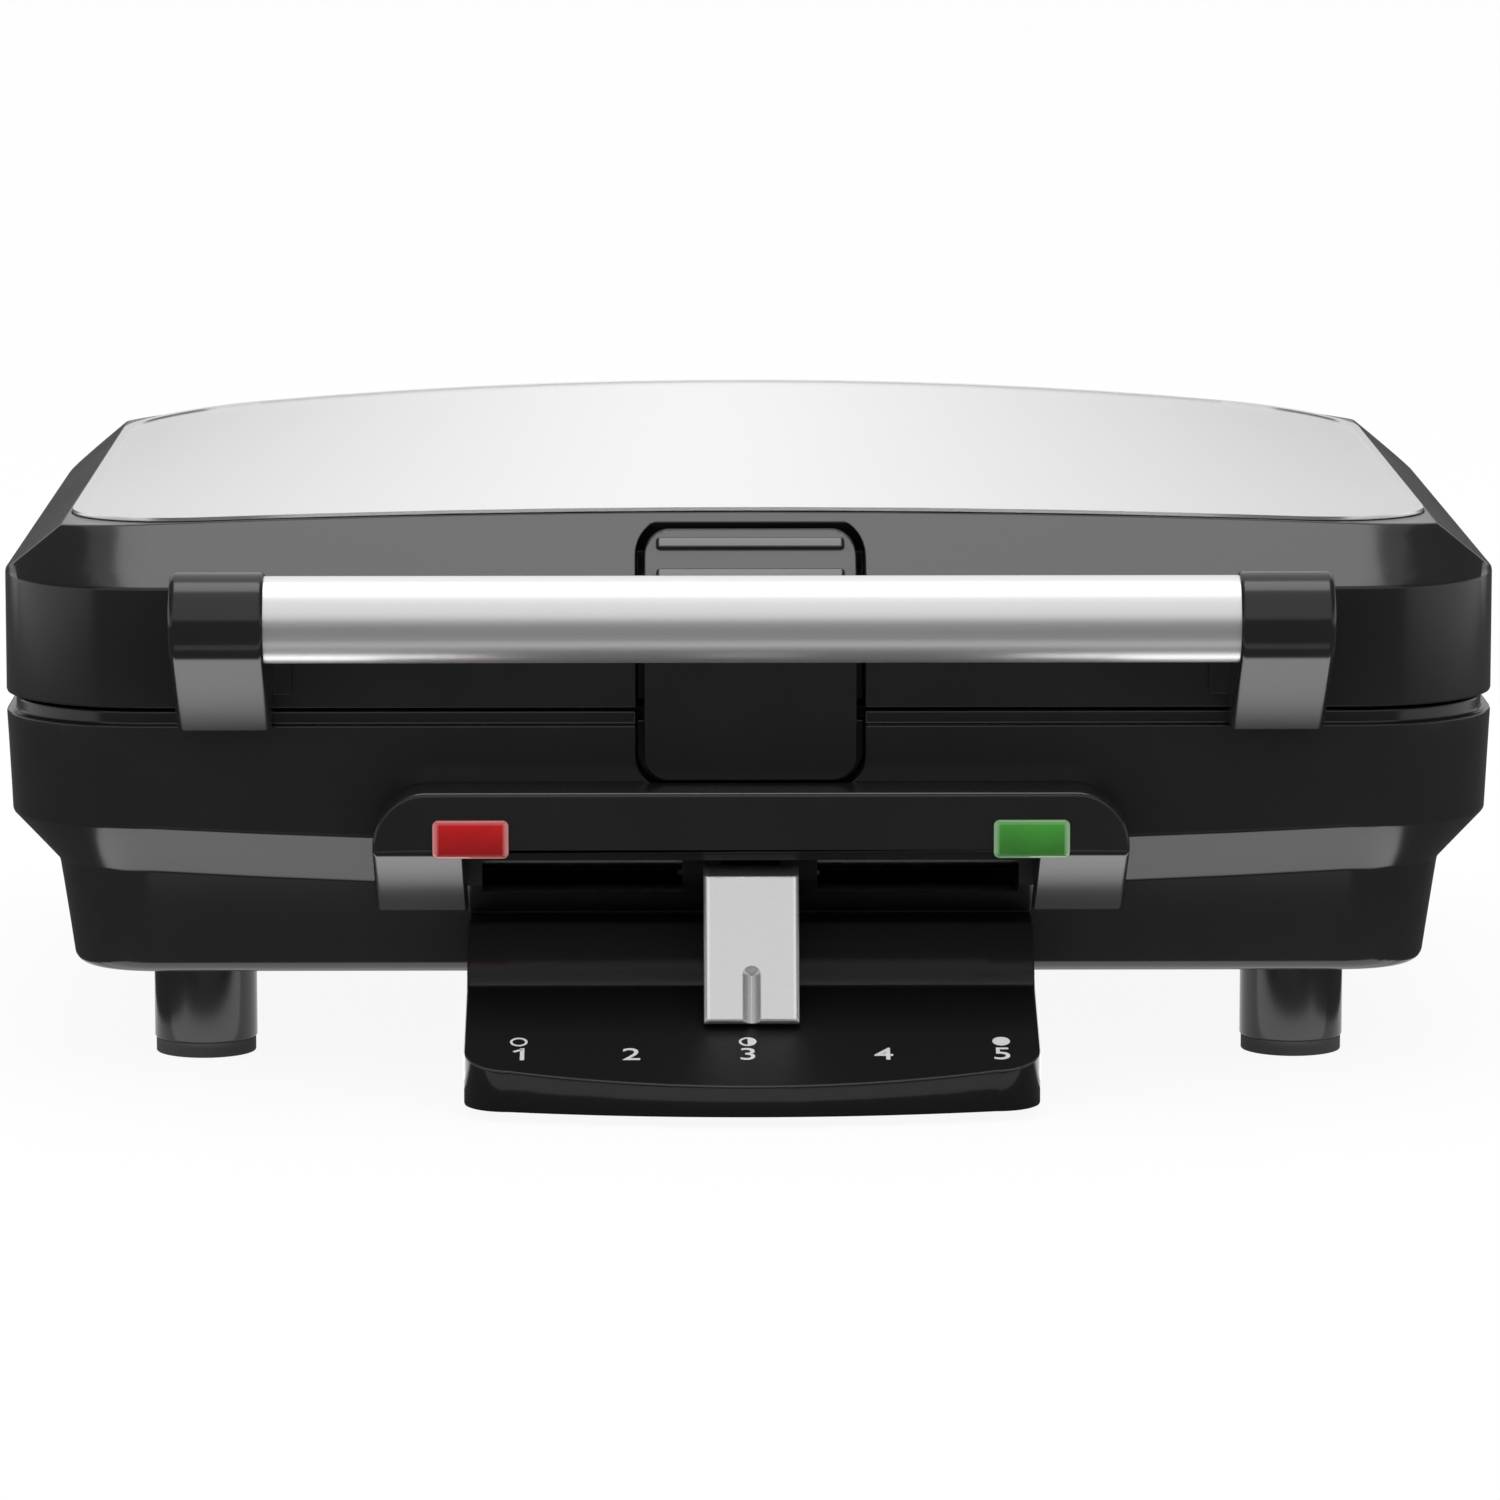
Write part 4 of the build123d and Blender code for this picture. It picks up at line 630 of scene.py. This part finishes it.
@finish_maker
def lamp_glass(finish):
    """Clear lamp with a warm core."""
    core = finish.noise(finish.place(), 300, 2)
    return finish.surface(
        {
            "Base Color": finish.mix(core, (0.9, 0.86, 0.78), (0.98, 0.96, 0.92)),
            "Roughness": 0.04 + core * 0.04,
            "Transmission Weight": 0.6,
            "IOR": 1.5,
        }
    )


@finish_maker
def ceramic_body(finish):
    """Pale insulating body with a dusty surface."""
    ceramic = colours().ceramic
    dust = finish.noise(finish.place(), 220, 5)
    return finish.surface(
        {
            "Base Color": finish.mix(dust, shade(ceramic, 0.85), shade(ceramic, 1.05)),
            "Roughness": 0.55 + dust * 0.2,
            "Normal": finish.bump(dust, 0.2, 0.06 * MM),
        }
    )


@finish_maker
def scale_print(finish):
    """White printing ink."""
    ink = colours().print_white
    grain = finish.noise(finish.place(), 2600, 2)
    return finish.surface(
        {
            "Base Color": finish.mix(grain, shade(ink, 0.94), shade(ink, 1.04)),
            "Roughness": 0.45 + grain * 0.1,
        }
    )


# Modelling helpers
def deselect():
    """Leaves edit mode and selects nothing."""
    if bpy.context.mode != "OBJECT":
        bpy.ops.object.mode_set(mode="OBJECT")
    bpy.ops.object.select_all(action="DESELECT")


def activate(piece):
    """Makes a piece the only selected one."""
    deselect()
    piece.select_set(True)
    bpy.context.view_layer.objects.active = piece


def edit(piece):
    """Opens a piece in edit mode, with everything selected."""
    activate(piece)
    bpy.ops.object.mode_set(mode="EDIT")
    bpy.ops.mesh.select_all(action="SELECT")


def clear_picks(piece, kind):
    """Sets a piece's kind of selection and leaves nothing in it selected."""
    edit(piece)
    bpy.ops.mesh.select_mode(type=kind)
    bpy.ops.mesh.select_all(action="DESELECT")
    bpy.ops.object.mode_set(mode="OBJECT")


def pick_edges(piece, test):
    """Opens a piece in edit mode with the edges selected whose middle passes a test."""
    clear_picks(piece, "EDGE")
    points = [vertex.co for vertex in piece.data.vertices]
    for edge in piece.data.edges:
        first, second = edge.vertices
        edge.select = test((points[first] + points[second]) / 2)
    bpy.ops.object.mode_set(mode="EDIT")


def pick_faces(piece, test):
    """Opens a piece in edit mode with the faces selected whose centre passes a test."""
    clear_picks(piece, "FACE")
    for face in piece.data.polygons:
        face.select = test(face.center)
    bpy.ops.object.mode_set(mode="EDIT")


def extrude_up(rise):
    """Extrudes what is selected along Z."""
    bpy.ops.mesh.extrude_region_move(TRANSFORM_OT_translate={"value": (0, 0, rise)})


def started(name):
    """Names the primitive that was just added."""
    piece = bpy.context.active_object
    piece.name = name
    piece.data.name = name
    return piece


def mark_faces(piece, name, test):
    """Face attribute that is 1 on the faces that pass a test."""
    values = [float(test(face)) for face in piece.data.polygons]
    piece.data.attributes.new(name, "FLOAT", "FACE").data.foreach_set("value", values)


def copy_to(piece, name, place):
    """Copy of a piece with its own mesh, moved to a place."""
    twin = bpy.data.objects.new(name, piece.data.copy())
    bpy.context.scene.collection.objects.link(twin)
    twin.location = place
    return twin


def set_out(piece, name, places):
    """Joins copies of a piece at the given places, and removes the pattern."""
    twins = [copy_to(piece, name, place) for place in places]
    bpy.data.objects.remove(piece)
    activate(twins[0])
    for twin in twins:
        twin.select_set(True)
    bpy.ops.object.transform_apply(location=True, rotation=False, scale=False)
    bpy.ops.object.join()
    return started(name)


def apply_modifier(piece, kind, **settings):
    """Adds a modifier with its settings and applies it."""
    activate(piece)
    modifier = piece.modifiers.new(kind.title(), kind)
    for name, value in settings.items():
        setattr(modifier, name, value)
    bpy.ops.object.modifier_apply(modifier=modifier.name)


def round_edges(piece, radius, segments):
    """Rounds the sharp edges of a piece."""
    apply_modifier(
        piece,
        "BEVEL",
        width=radius,
        segments=segments,
        limit_method="ANGLE",
        angle_limit=EDGE_ANGLE,
        use_clamp_overlap=False,
        miter_outer="MITER_ARC",
    )


def smooth(piece):
    """Smooth shading that keeps flat faces flat."""
    activate(piece)
    bpy.ops.object.shade_smooth_by_angle(angle=SMOOTH_ANGLE)
    apply_modifier(piece, "WEIGHTED_NORMAL", mode="FACE_AREA", weight=50, keep_sharp=True)


def dress(piece, body, slot, finish, *nodes):
    """Gives a finished piece its place in the frame and its finish. The slot is not used."""
    activate(piece)
    bpy.ops.object.transform_apply(location=True, rotation=True, scale=True)
    piece.data.materials.clear()
    piece.data.materials.append(finish())
    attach(piece, body)
    if nodes:
        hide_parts(*nodes)
    return piece


def paint(finish, *nodes):
    """Gives carried-over CAD nodes a finish."""
    for node in nodes:
        materials = frame["nodes"][node].data.materials
        materials.clear()
        materials.append(finish())


def rounded_copy(node, name, radius, segments, convex):
    """Copy of a CAD node with its facets joined and its edges rounded.

    Faces with notches can tear when they are rounded. With convex set, they are split first.
    """
    piece = bpy.data.objects.new(name, frame["nodes"][node].data.copy())
    bpy.context.scene.collection.objects.link(piece)
    edit(piece)
    bpy.ops.mesh.customdata_custom_splitnormals_clear()
    bpy.ops.mesh.mark_sharp(clear=True)
    bpy.ops.mesh.remove_doubles(threshold=MERGE)
    bpy.ops.mesh.dissolve_limited(angle_limit=FLAT_ANGLE)
    if convex:
        bpy.ops.mesh.vert_connect_concave()
    bpy.ops.object.mode_set(mode="OBJECT")
    round_edges(piece, radius, segments)
    smooth(piece)
    return piece


def node_body(node):
    """Body that a CAD node rides on."""
    return frame["nodes"][node]["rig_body"]


def node_slot(node):
    """Material slot of a CAD node."""
    parts = frame["record"]["subparts"]
    return next(part["material_slot"] for part in parts if part["node"] == node)


def dress_copy(node, name, radius, finish, segments=2, convex=False):
    """Rounded copy of a node, finished and in the node's place."""
    piece = rounded_copy(node, name, radius, segments, convex)
    return dress(piece, node_body(node), node_slot(node), finish, node)


# Operators, one for each piece or group of like pieces
class WAFFLE_OT_lid_shell(bpy.types.Operator):
    """Lid shell with rounded edges"""

    bl_idname = "waffle.lid_shell"
    bl_label = "Lid shell"

    def execute(self, context):
        dress_copy("lid_housing", "lid_shell", sizes().shell_edge, gloss_black)
        return {"FINISHED"}


class WAFFLE_OT_top_panel(bpy.types.Operator):
    """Bright panel on the lid"""

    bl_idname = "waffle.top_panel"
    bl_label = "Top panel"

    def execute(self, context):
        paint(stainless, "lid_top_panel")
        return {"FINISHED"}


class WAFFLE_OT_base_shell(bpy.types.Operator):
    """Base shell, bottom cover with its vents, and screws"""

    bl_idname = "waffle.base_shell"
    bl_label = "Base shell"

    def execute(self, context):
        dress_copy("base_housing", "base_shell", sizes().shell_edge, gloss_black)
        dress_copy("bottom_cover", "vented_cover", sizes().sheet_edge, black_sheet)
        dress(make_hoods(), "base", "black_metal", black_sheet)
        for node, diameter in (
            ("bottom_screws", sizes().cover_screw),
            ("lower_plate_screws", sizes().plate_screw),
        ):
            dress(make_screws(node, diameter), node_body(node), node_slot(node), zinc_plate, node)
        paint(zinc_plate, "upper_plate_screws")
        return {"FINISHED"}


def make_hoods():
    """Pressed hoods over the vents of the bottom cover, each open along one side."""
    low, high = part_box("bottom_cover")
    middle = (low[1] + high[1]) / 2
    deselect()
    bpy.ops.mesh.primitive_cylinder_add(
        vertices=24, radius=sizes().hood_radius, depth=sizes().hood_length, rotation=(pi / 2, 0, 0)
    )
    hood = started("hood")
    bpy.ops.object.transform_apply(location=False, rotation=True, scale=False)
    edit(hood)
    bpy.ops.mesh.bisect(plane_co=(0, 0, 0), plane_no=(0, 0, 1), clear_inner=True)
    pick_faces(hood, lambda at: at.x > 0 and at.z < sizes().hood_gap and abs(at.y) < MM)
    bpy.ops.mesh.delete(type="FACE")
    bpy.ops.object.mode_set(mode="OBJECT")
    apply_modifier(hood, "SOLIDIFY", thickness=sizes().hood_sheet, offset=-1)
    smooth(hood)
    columns = [(count - (HOODS - 1) / 2) * sizes().hood_pitch for count in range(HOODS)]
    rows = [middle + side * sizes().hood_rows / 2 for side in (-1, 1)]
    places = [(x, y, high[2]) for y in rows for x in columns]
    return set_out(hood, "vent_hoods", places)


def make_screws(node, diameter):
    """Cross-recessed screws at the corners of a CAD node's box, with their heads down."""
    low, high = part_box(node)
    radius = diameter * HEAD_WIDTH / 2
    head = diameter * HEAD_HEIGHT
    deselect()
    bpy.ops.mesh.primitive_cylinder_add(
        vertices=32, radius=radius, depth=head, location=(0, 0, head / 2)
    )
    screw = started("screw")
    bpy.ops.object.transform_apply(location=True, rotation=False, scale=False)
    pick_faces(screw, lambda at: at.z > (1 - NEAR_END) * head)
    bpy.ops.mesh.inset(thickness=radius - diameter / 2)
    extrude_up(high[2] - low[2] - head)
    pick_edges(screw, lambda at: at.z < NEAR_END * head)
    bpy.ops.mesh.bevel(offset=head / 2, segments=4, affect="EDGES")
    bpy.ops.object.mode_set(mode="OBJECT")
    for turn in (0, pi / 2):
        cut_slit(screw, (SLIT_LENGTH * diameter, SLIT_WIDTH * diameter, head), turn)
    smooth(screw)
    places = [
        (x, y, low[2])
        for x in (low[0] + radius, high[0] - radius)
        for y in (low[1] + radius, high[1] - radius)
    ]
    return set_out(screw, f"{node}_form", places)


def cut_slit(piece, span, turn):
    """Cuts a slit upwards into the underside of a piece."""
    deselect()
    bpy.ops.mesh.primitive_cube_add(size=1, rotation=(0, 0, turn))
    blade = started("blade")
    blade.scale = span
    bpy.ops.object.transform_apply(location=False, rotation=True, scale=True)
    apply_modifier(piece, "BOOLEAN", object=blade, operation="DIFFERENCE", solver="EXACT")
    bpy.data.objects.remove(blade)


class WAFFLE_OT_handle(bpy.types.Operator):
    """Bar handle and its two brackets"""

    bl_idname = "waffle.handle"
    bl_label = "Handle"

    def execute(self, context):
        paint(satin_aluminium, "handle_bar")
        for side in SIDES:
            node = f"handle_bracket_{side}"
            dress_copy(node, f"bracket_{side}", sizes().trim_edge, gloss_black)
        paint(zinc_plate, "handle_screws")
        return {"FINISHED"}


class WAFFLE_OT_latch(bpy.types.Operator):
    """Rocker latch with its pin and leaf spring"""

    bl_idname = "waffle.latch"
    bl_label = "Latch"

    def execute(self, context):
        rocker = dress_copy("latch", "rocker", sizes().trim_edge, grip_black, convex=True)
        top = max(rib_height(face) for face in rocker.data.polygons)
        # Marks the rib tops that get the painted highlight
        mark_faces(rocker, "rib", lambda face: rib_height(face) > top - sizes().rib_skin)
        paint(zinc_plate, "latch_pin", "latch_spring")
        return {"FINISHED"}


def rib_height(face):
    """Height of a face along its normal if it looks up and forwards, else far below."""
    normal = face.normal
    return face.center.dot(normal) if normal.z > SLANTED and normal.y < -SLANTED else -1.0


class WAFFLE_OT_grids(bpy.types.Operator):
    """Cast baking grids, their elements and reflectors"""

    bl_idname = "waffle.grids"
    bl_label = "Baking grids"

    def execute(self, context):
        for level in ("lower", "upper"):
            node = f"{level}_baking_plate"
            dress_copy(node, f"{level}_grid", sizes().casting_edge, coated_casting, convex=True)
            paint(heated_sheath, f"{level}_heating_element")
            paint(aluminised_sheet, f"{level}_reflector")
        return {"FINISHED"}


class WAFFLE_OT_controls(bpy.types.Operator):
    """Visor, slot plate, lenses and lamps"""

    bl_idname = "waffle.controls"
    bl_label = "Visor and lenses"

    def execute(self, context):
        dress_copy(
            "control_panel", "visor", sizes().visor_edge, gloss_black, segments=3, convex=True
        )
        paint(gloss_black, "slot_plate")
        dress_copy("red_lens", "red_window", sizes().lens_edge, red_plastic, segments=3)
        dress_copy("green_lens", "green_window", sizes().lens_edge, green_plastic, segments=3)
        paint(lamp_glass, "red_lamp", "green_lamp")
        paint(zinc_plate, "control_screws")
        return {"FINISHED"}


class WAFFLE_OT_scale(bpy.types.Operator):
    """Sloping scale plate with its printed digits"""

    bl_idname = "waffle.scale"
    bl_label = "Browning scale"

    def execute(self, context):
        plate = dress_copy("control_tongue", "scale_plate", sizes().trim_edge, scale_black)
        mark_faces(plate, "satin", lambda face: face.normal.z > UPWARDS)
        context.view_layer.update()
        places = list(sizes().digit_places)
        marks = [make_digit(number, x) for number, x in enumerate(places, 1)]
        marks += [make_mark(fill, x) for fill, x in zip(("open", "half", "full"), places[::2])]
        activate(marks[0])
        for mark in marks:
            mark.select_set(True)
        bpy.ops.object.join()
        dress(started("scale_marks"), "base", None, scale_print)
        return {"FINISHED"}


def lay_on_scale(mark, x, y):
    """Lays a flat mark on the scale plate, with its top towards the back."""
    plate = bpy.data.objects["scale_plate"]
    hit, point, normal, _ = plate.ray_cast(Vector((x, y, 1)), Vector((0, 0, -1)))
    if not hit:
        raise RuntimeError("the scale plate has no surface under a mark")
    activate(mark)
    mark.location = point
    mark.rotation_euler = (atan2(-normal.y, normal.z), 0, 0)
    bpy.ops.object.transform_apply(location=True, rotation=True, scale=True)
    return mark


def make_digit(number, x):
    """Printed digit of the browning scale."""
    deselect()
    bpy.ops.object.text_add()
    digit = started(f"digit_{number}")
    digit.data.body = str(number)
    digit.data.offset = sizes().digit_bold
    digit.data.extrude = sizes().ink
    bpy.ops.object.convert(target="MESH")
    if number == 1:
        add_flag(digit)
    bpy.ops.object.origin_set(type="ORIGIN_GEOMETRY", center="BOUNDS")
    scale = sizes().digit_height / digit.dimensions.y
    digit.scale = (scale * sizes().digit_width, scale, 1)
    return lay_on_scale(digit, x, -sizes().digit_y)


def add_flag(digit):
    """Stroke that falls to the left from the top of the digit 1."""
    low, high = Vector(digit.bound_box[0]), Vector(digit.bound_box[6])
    stroke = high.x - low.x
    place = (low.x - FLAG_LEFT * stroke, high.y - FLAG_DROP * stroke, 0)
    bpy.ops.mesh.primitive_cube_add(size=1, location=place, rotation=(0, 0, FLAG_SLOPE))
    flag = started("flag")
    flag.scale = (FLAG_LENGTH * stroke, FLAG_WIDTH * stroke, high.z - low.z)
    digit.select_set(True)
    bpy.context.view_layer.objects.active = digit
    bpy.ops.object.join()


def make_mark(fill, x):
    """Round mark of the browning scale: open, half filled or full."""
    deselect()
    radius = sizes().mark_width / 2
    bpy.ops.mesh.primitive_circle_add(vertices=48, radius=radius, fill_type="NGON")
    mark = started(f"{fill}_mark")
    edit(mark)
    if fill != "full":
        bpy.ops.mesh.inset(thickness=sizes().mark_line)
        if fill == "half":
            bpy.ops.mesh.bisect(plane_co=(0, 0, 0), plane_no=(1, 0, 0))
            pick_faces(mark, lambda at: at.length < radius - sizes().mark_line and at.x < 0)
        bpy.ops.mesh.delete(type="FACE")
    bpy.ops.mesh.select_all(action="SELECT")
    extrude_up(sizes().ink)
    bpy.ops.object.mode_set(mode="OBJECT")
    return lay_on_scale(mark, x, -sizes().mark_y)


class WAFFLE_OT_slider(bpy.types.Operator):
    """Browning slider, its thermostat and the other electrical parts"""

    bl_idname = "waffle.slider"
    bl_label = "Browning slider"

    def execute(self, context):
        dress_copy("slider_knob", "knob", sizes().knob_edge, silver_coat, segments=3)
        paint(satin_black, "slider_carrier")
        paint(zinc_plate, "slider_rail")
        paint(ceramic_body, "thermostat", "thermostat_plunger", "terminal_block")
        paint(aluminised_sheet, "thermostat_bracket", "thermal_fuse")
        paint(gland_rubber, "cord_gland")
        return {"FINISHED"}


class WAFFLE_OT_hinges(bpy.types.Operator):
    """Hinge brackets, arms and pins"""

    bl_idname = "waffle.hinges"
    bl_label = "Hinges"

    def execute(self, context):
        for side in SIDES:
            for part in ("bracket", "arm"):
                node = f"hinge_{part}_{side}"
                dress_copy(node, f"{node}_form", sizes().sheet_edge, black_sheet)
            paint(zinc_plate, f"hinge_pin_{side}")
        return {"FINISHED"}


class WAFFLE_OT_feet(bpy.types.Operator):
    """Round feet and their pads"""

    bl_idname = "waffle.feet"
    bl_label = "Feet"

    def execute(self, context):
        post = make_disc("foot_front_left")
        pad = make_disc("foot_pad_front_left")
        hollow_pad(pad)
        for piece, part, finish in ((post, "foot", gloss_black), (pad, "foot_pad", pad_rubber)):
            round_edges(piece, sizes().pad_edge, 3)
            smooth(piece)
            for node in (f"{part}_{end}_{side}" for end in ENDS for side in SIDES):
                twin = copy_to(piece, f"{node}_form", disc_place(node))
                dress(twin, "base", node_slot(node), finish, node)
            bpy.data.objects.remove(piece)
        return {"FINISHED"}


def disc_place(node):
    """Middle of the underside of a round CAD node."""
    low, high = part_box(node)
    return ((low[0] + high[0]) / 2, (low[1] + high[1]) / 2, low[2])


def make_disc(node):
    """Disc of a round CAD node's size, standing on the origin."""
    low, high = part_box(node)
    height = high[2] - low[2]
    deselect()
    bpy.ops.mesh.primitive_cylinder_add(
        vertices=72, radius=(high[0] - low[0]) / 2, depth=height, location=(0, 0, height / 2)
    )
    disc = started(f"{node}_pattern")
    bpy.ops.object.transform_apply(location=True, rotation=False, scale=False)
    return disc


def hollow_pad(pad):
    """Presses a shallow hollow into a pad's underside, which leaves a standing ring."""
    pick_faces(pad, lambda at: at.z < sizes().pad_edge)
    bpy.ops.mesh.inset(thickness=sizes().pad_rim)
    extrude_up(sizes().pad_hollow)
    bpy.ops.object.mode_set(mode="OBJECT")


class WAFFLE_OT_stage(bpy.types.Operator):
    """Floor, card, surroundings, lamps and camera"""

    bl_idname = "waffle.stage"
    bl_label = "Stage"

    def execute(self, context):
        studio = context.scene.waffle_maker_studio
        make_floor()
        make_card()
        make_surroundings(context.scene)
        for name, (place, turn, size) in LAMPS.items():
            add_lamp(name, place, turn, size, getattr(studio, name))
        add_camera(context.scene, studio)
        context.scene.view_settings.view_transform = "Standard"
        return {"FINISHED"}


def ray_kind(finish, *kinds):
    """1 for the named kinds of ray, else 0."""
    rays = [finish.node("ShaderNodeLightPath", None, None, f"Is {kind} Ray") for kind in kinds]
    return finish.node("ShaderNodeClamp", None, {"Value": sum(rays[1:], rays[0])})


def make_floor():
    """Pale floor that shows as white, with a faint shadow."""
    deselect()
    bpy.ops.mesh.primitive_plane_add(size=FLOOR_SIZE, location=(0, 0, 0))
    floor = started("studio_floor")
    finish = Finish(bpy.data.materials.new("studio_floor"))
    plain = finish.node("ShaderNodeBsdfDiffuse", None, {"Color": (*colours().floor, 1)})
    white = finish.node("ShaderNodeEmission", None, {"Strength": FLOOR_WHITE})
    seen = ray_kind(finish, "Camera", "Glossy", "Transmission") * FLOOR_SHOWN
    mixed = finish.node("ShaderNodeMixShader", None, {0: seen, 1: plain, 2: white})
    finish.node("ShaderNodeOutputMaterial", None, {"Surface": mixed})
    floor.data.materials.append(finish.owner)


def make_card():
    """Dark card round the object, with raised edges, which only its glossy sides mirror."""
    deselect()
    bpy.ops.mesh.primitive_plane_add(size=2 * CARD_HALF, location=(0, CARD_Y, CARD_Z))
    card = started("dark_card")
    bpy.ops.object.transform_apply(location=True, rotation=False, scale=False)
    edit(card)
    bpy.ops.mesh.inset(thickness=CARD_HALF - CARD_HOLE)
    bpy.ops.mesh.delete(type="FACE")
    for rise, test in (
        (CARD_SIDE_FOOT, lambda at: abs(at.x) > CARD_HALF - MM),
        (CARD_SIDE_RISE - CARD_SIDE_FOOT, lambda at: at.z > CARD_SIDE_FOOT - MM),
        (CARD_END_RISE, lambda at: abs(at.y - CARD_Y) > CARD_HALF - MM and abs(at.x) < MM),
    ):
        pick_edges(card, test)
        extrude_up(rise)
    pick_faces(card, lambda at: abs(at.x) > CARD_HALF - MM and at.z < CARD_SIDE_FOOT)
    bpy.ops.mesh.delete(type="FACE")
    bpy.ops.object.mode_set(mode="OBJECT")
    finish = Finish(bpy.data.materials.new("dark_card"))
    shader = finish.node("ShaderNodeBsdfDiffuse", None, {"Color": (*colours().card, 1)})
    finish.node("ShaderNodeOutputMaterial", None, {"Surface": shader})
    card.data.materials.append(finish.owner)
    for ray in ("camera", "diffuse", "transmission", "shadow"):
        setattr(card, f"visible_{ray}", False)


def make_surroundings(scene):
    """Surroundings that show white, mirror greyer to the sides and light at a plain level."""
    scene.world = bpy.data.worlds.new("studio")
    finish = Finish(scene.world)
    direction = finish.node("ShaderNodeTexCoord", None, None, "Generated")
    across = abs(finish.node("ShaderNodeSeparateXYZ", None, {"Vector": direction}, "X"))
    mirrored = finish.ramp(across, ((0.0, 1.0), (SIDE_REACH, SIDE_GREY)))
    plain = finish.mix(ray_kind(finish, "Camera"), 3 * (LIGHT_GREY,), (1, 1, 1))
    light = finish.mix(ray_kind(finish, "Glossy", "Transmission"), plain, mirrored)
    shader = finish.node("ShaderNodeBackground", None, {"Color": light, "Strength": 1.0})
    finish.node("ShaderNodeOutputWorld", None, {"Surface": shader})


def add_lamp(name, place, turn, size, power):
    """Soft rectangular lamp that the camera doesn't see."""
    deselect()
    bpy.ops.object.light_add(type="AREA", location=place, rotation=(turn, 0, 0))
    lamp = started(name)
    lamp.data.shape = "RECTANGLE"
    lamp.data.size, lamp.data.size_y = size
    lamp.data.energy = power
    lamp.visible_camera = False


def add_camera(scene, studio):
    """Camera in front of the object and a little over it."""
    deselect()
    bpy.ops.object.camera_add(
        location=(studio.camera_x, studio.camera_y, studio.camera_z),
        rotation=(pi / 2 - studio.pitch, 0, -studio.yaw),
    )
    camera = started("viewpoint")
    camera.data.lens = studio.lens
    scene.camera = camera


OPERATORS = (
    WAFFLE_OT_lid_shell,
    WAFFLE_OT_top_panel,
    WAFFLE_OT_base_shell,
    WAFFLE_OT_handle,
    WAFFLE_OT_latch,
    WAFFLE_OT_grids,
    WAFFLE_OT_controls,
    WAFFLE_OT_scale,
    WAFFLE_OT_slider,
    WAFFLE_OT_hinges,
    WAFFLE_OT_feet,
    WAFFLE_OT_stage,
)


class WAFFLE_PT_panel(bpy.types.Panel):
    """Lists the steps of the waffle maker"""

    bl_idname = "WAFFLE_PT_panel"
    bl_label = "Waffle maker"
    bl_space_type = "VIEW_3D"
    bl_region_type = "UI"
    bl_category = "Waffle maker"

    def draw(self, context):
        for step in OPERATORS:
            self.layout.operator(step.bl_idname)


SETTINGS = {
    "waffle_maker_sizes": WaffleMakerSizes,
    "waffle_maker_colours": WaffleMakerColours,
    "waffle_maker_studio": WaffleMakerStudio,
}
CLASSES = (*SETTINGS.values(), *OPERATORS, WAFFLE_PT_panel)


def register():
    """Adds the classes and the scene's settings."""
    for kind in CLASSES:
        bpy.utils.register_class(kind)
    for name, kind in SETTINGS.items():
        setattr(bpy.types.Scene, name, bpy.props.PointerProperty(type=kind))


def unregister():
    """Takes the settings and classes away again."""
    for name in SETTINGS:
        delattr(bpy.types.Scene, name)
    for kind in reversed(CLASSES):
        bpy.utils.unregister_class(kind)


def main():
    """Runs every step."""
    register()
    for step in OPERATORS:
        group, name = step.bl_idname.split(".")
        getattr(getattr(bpy.ops, group), name)()


if __name__ == "__main__":
    main()
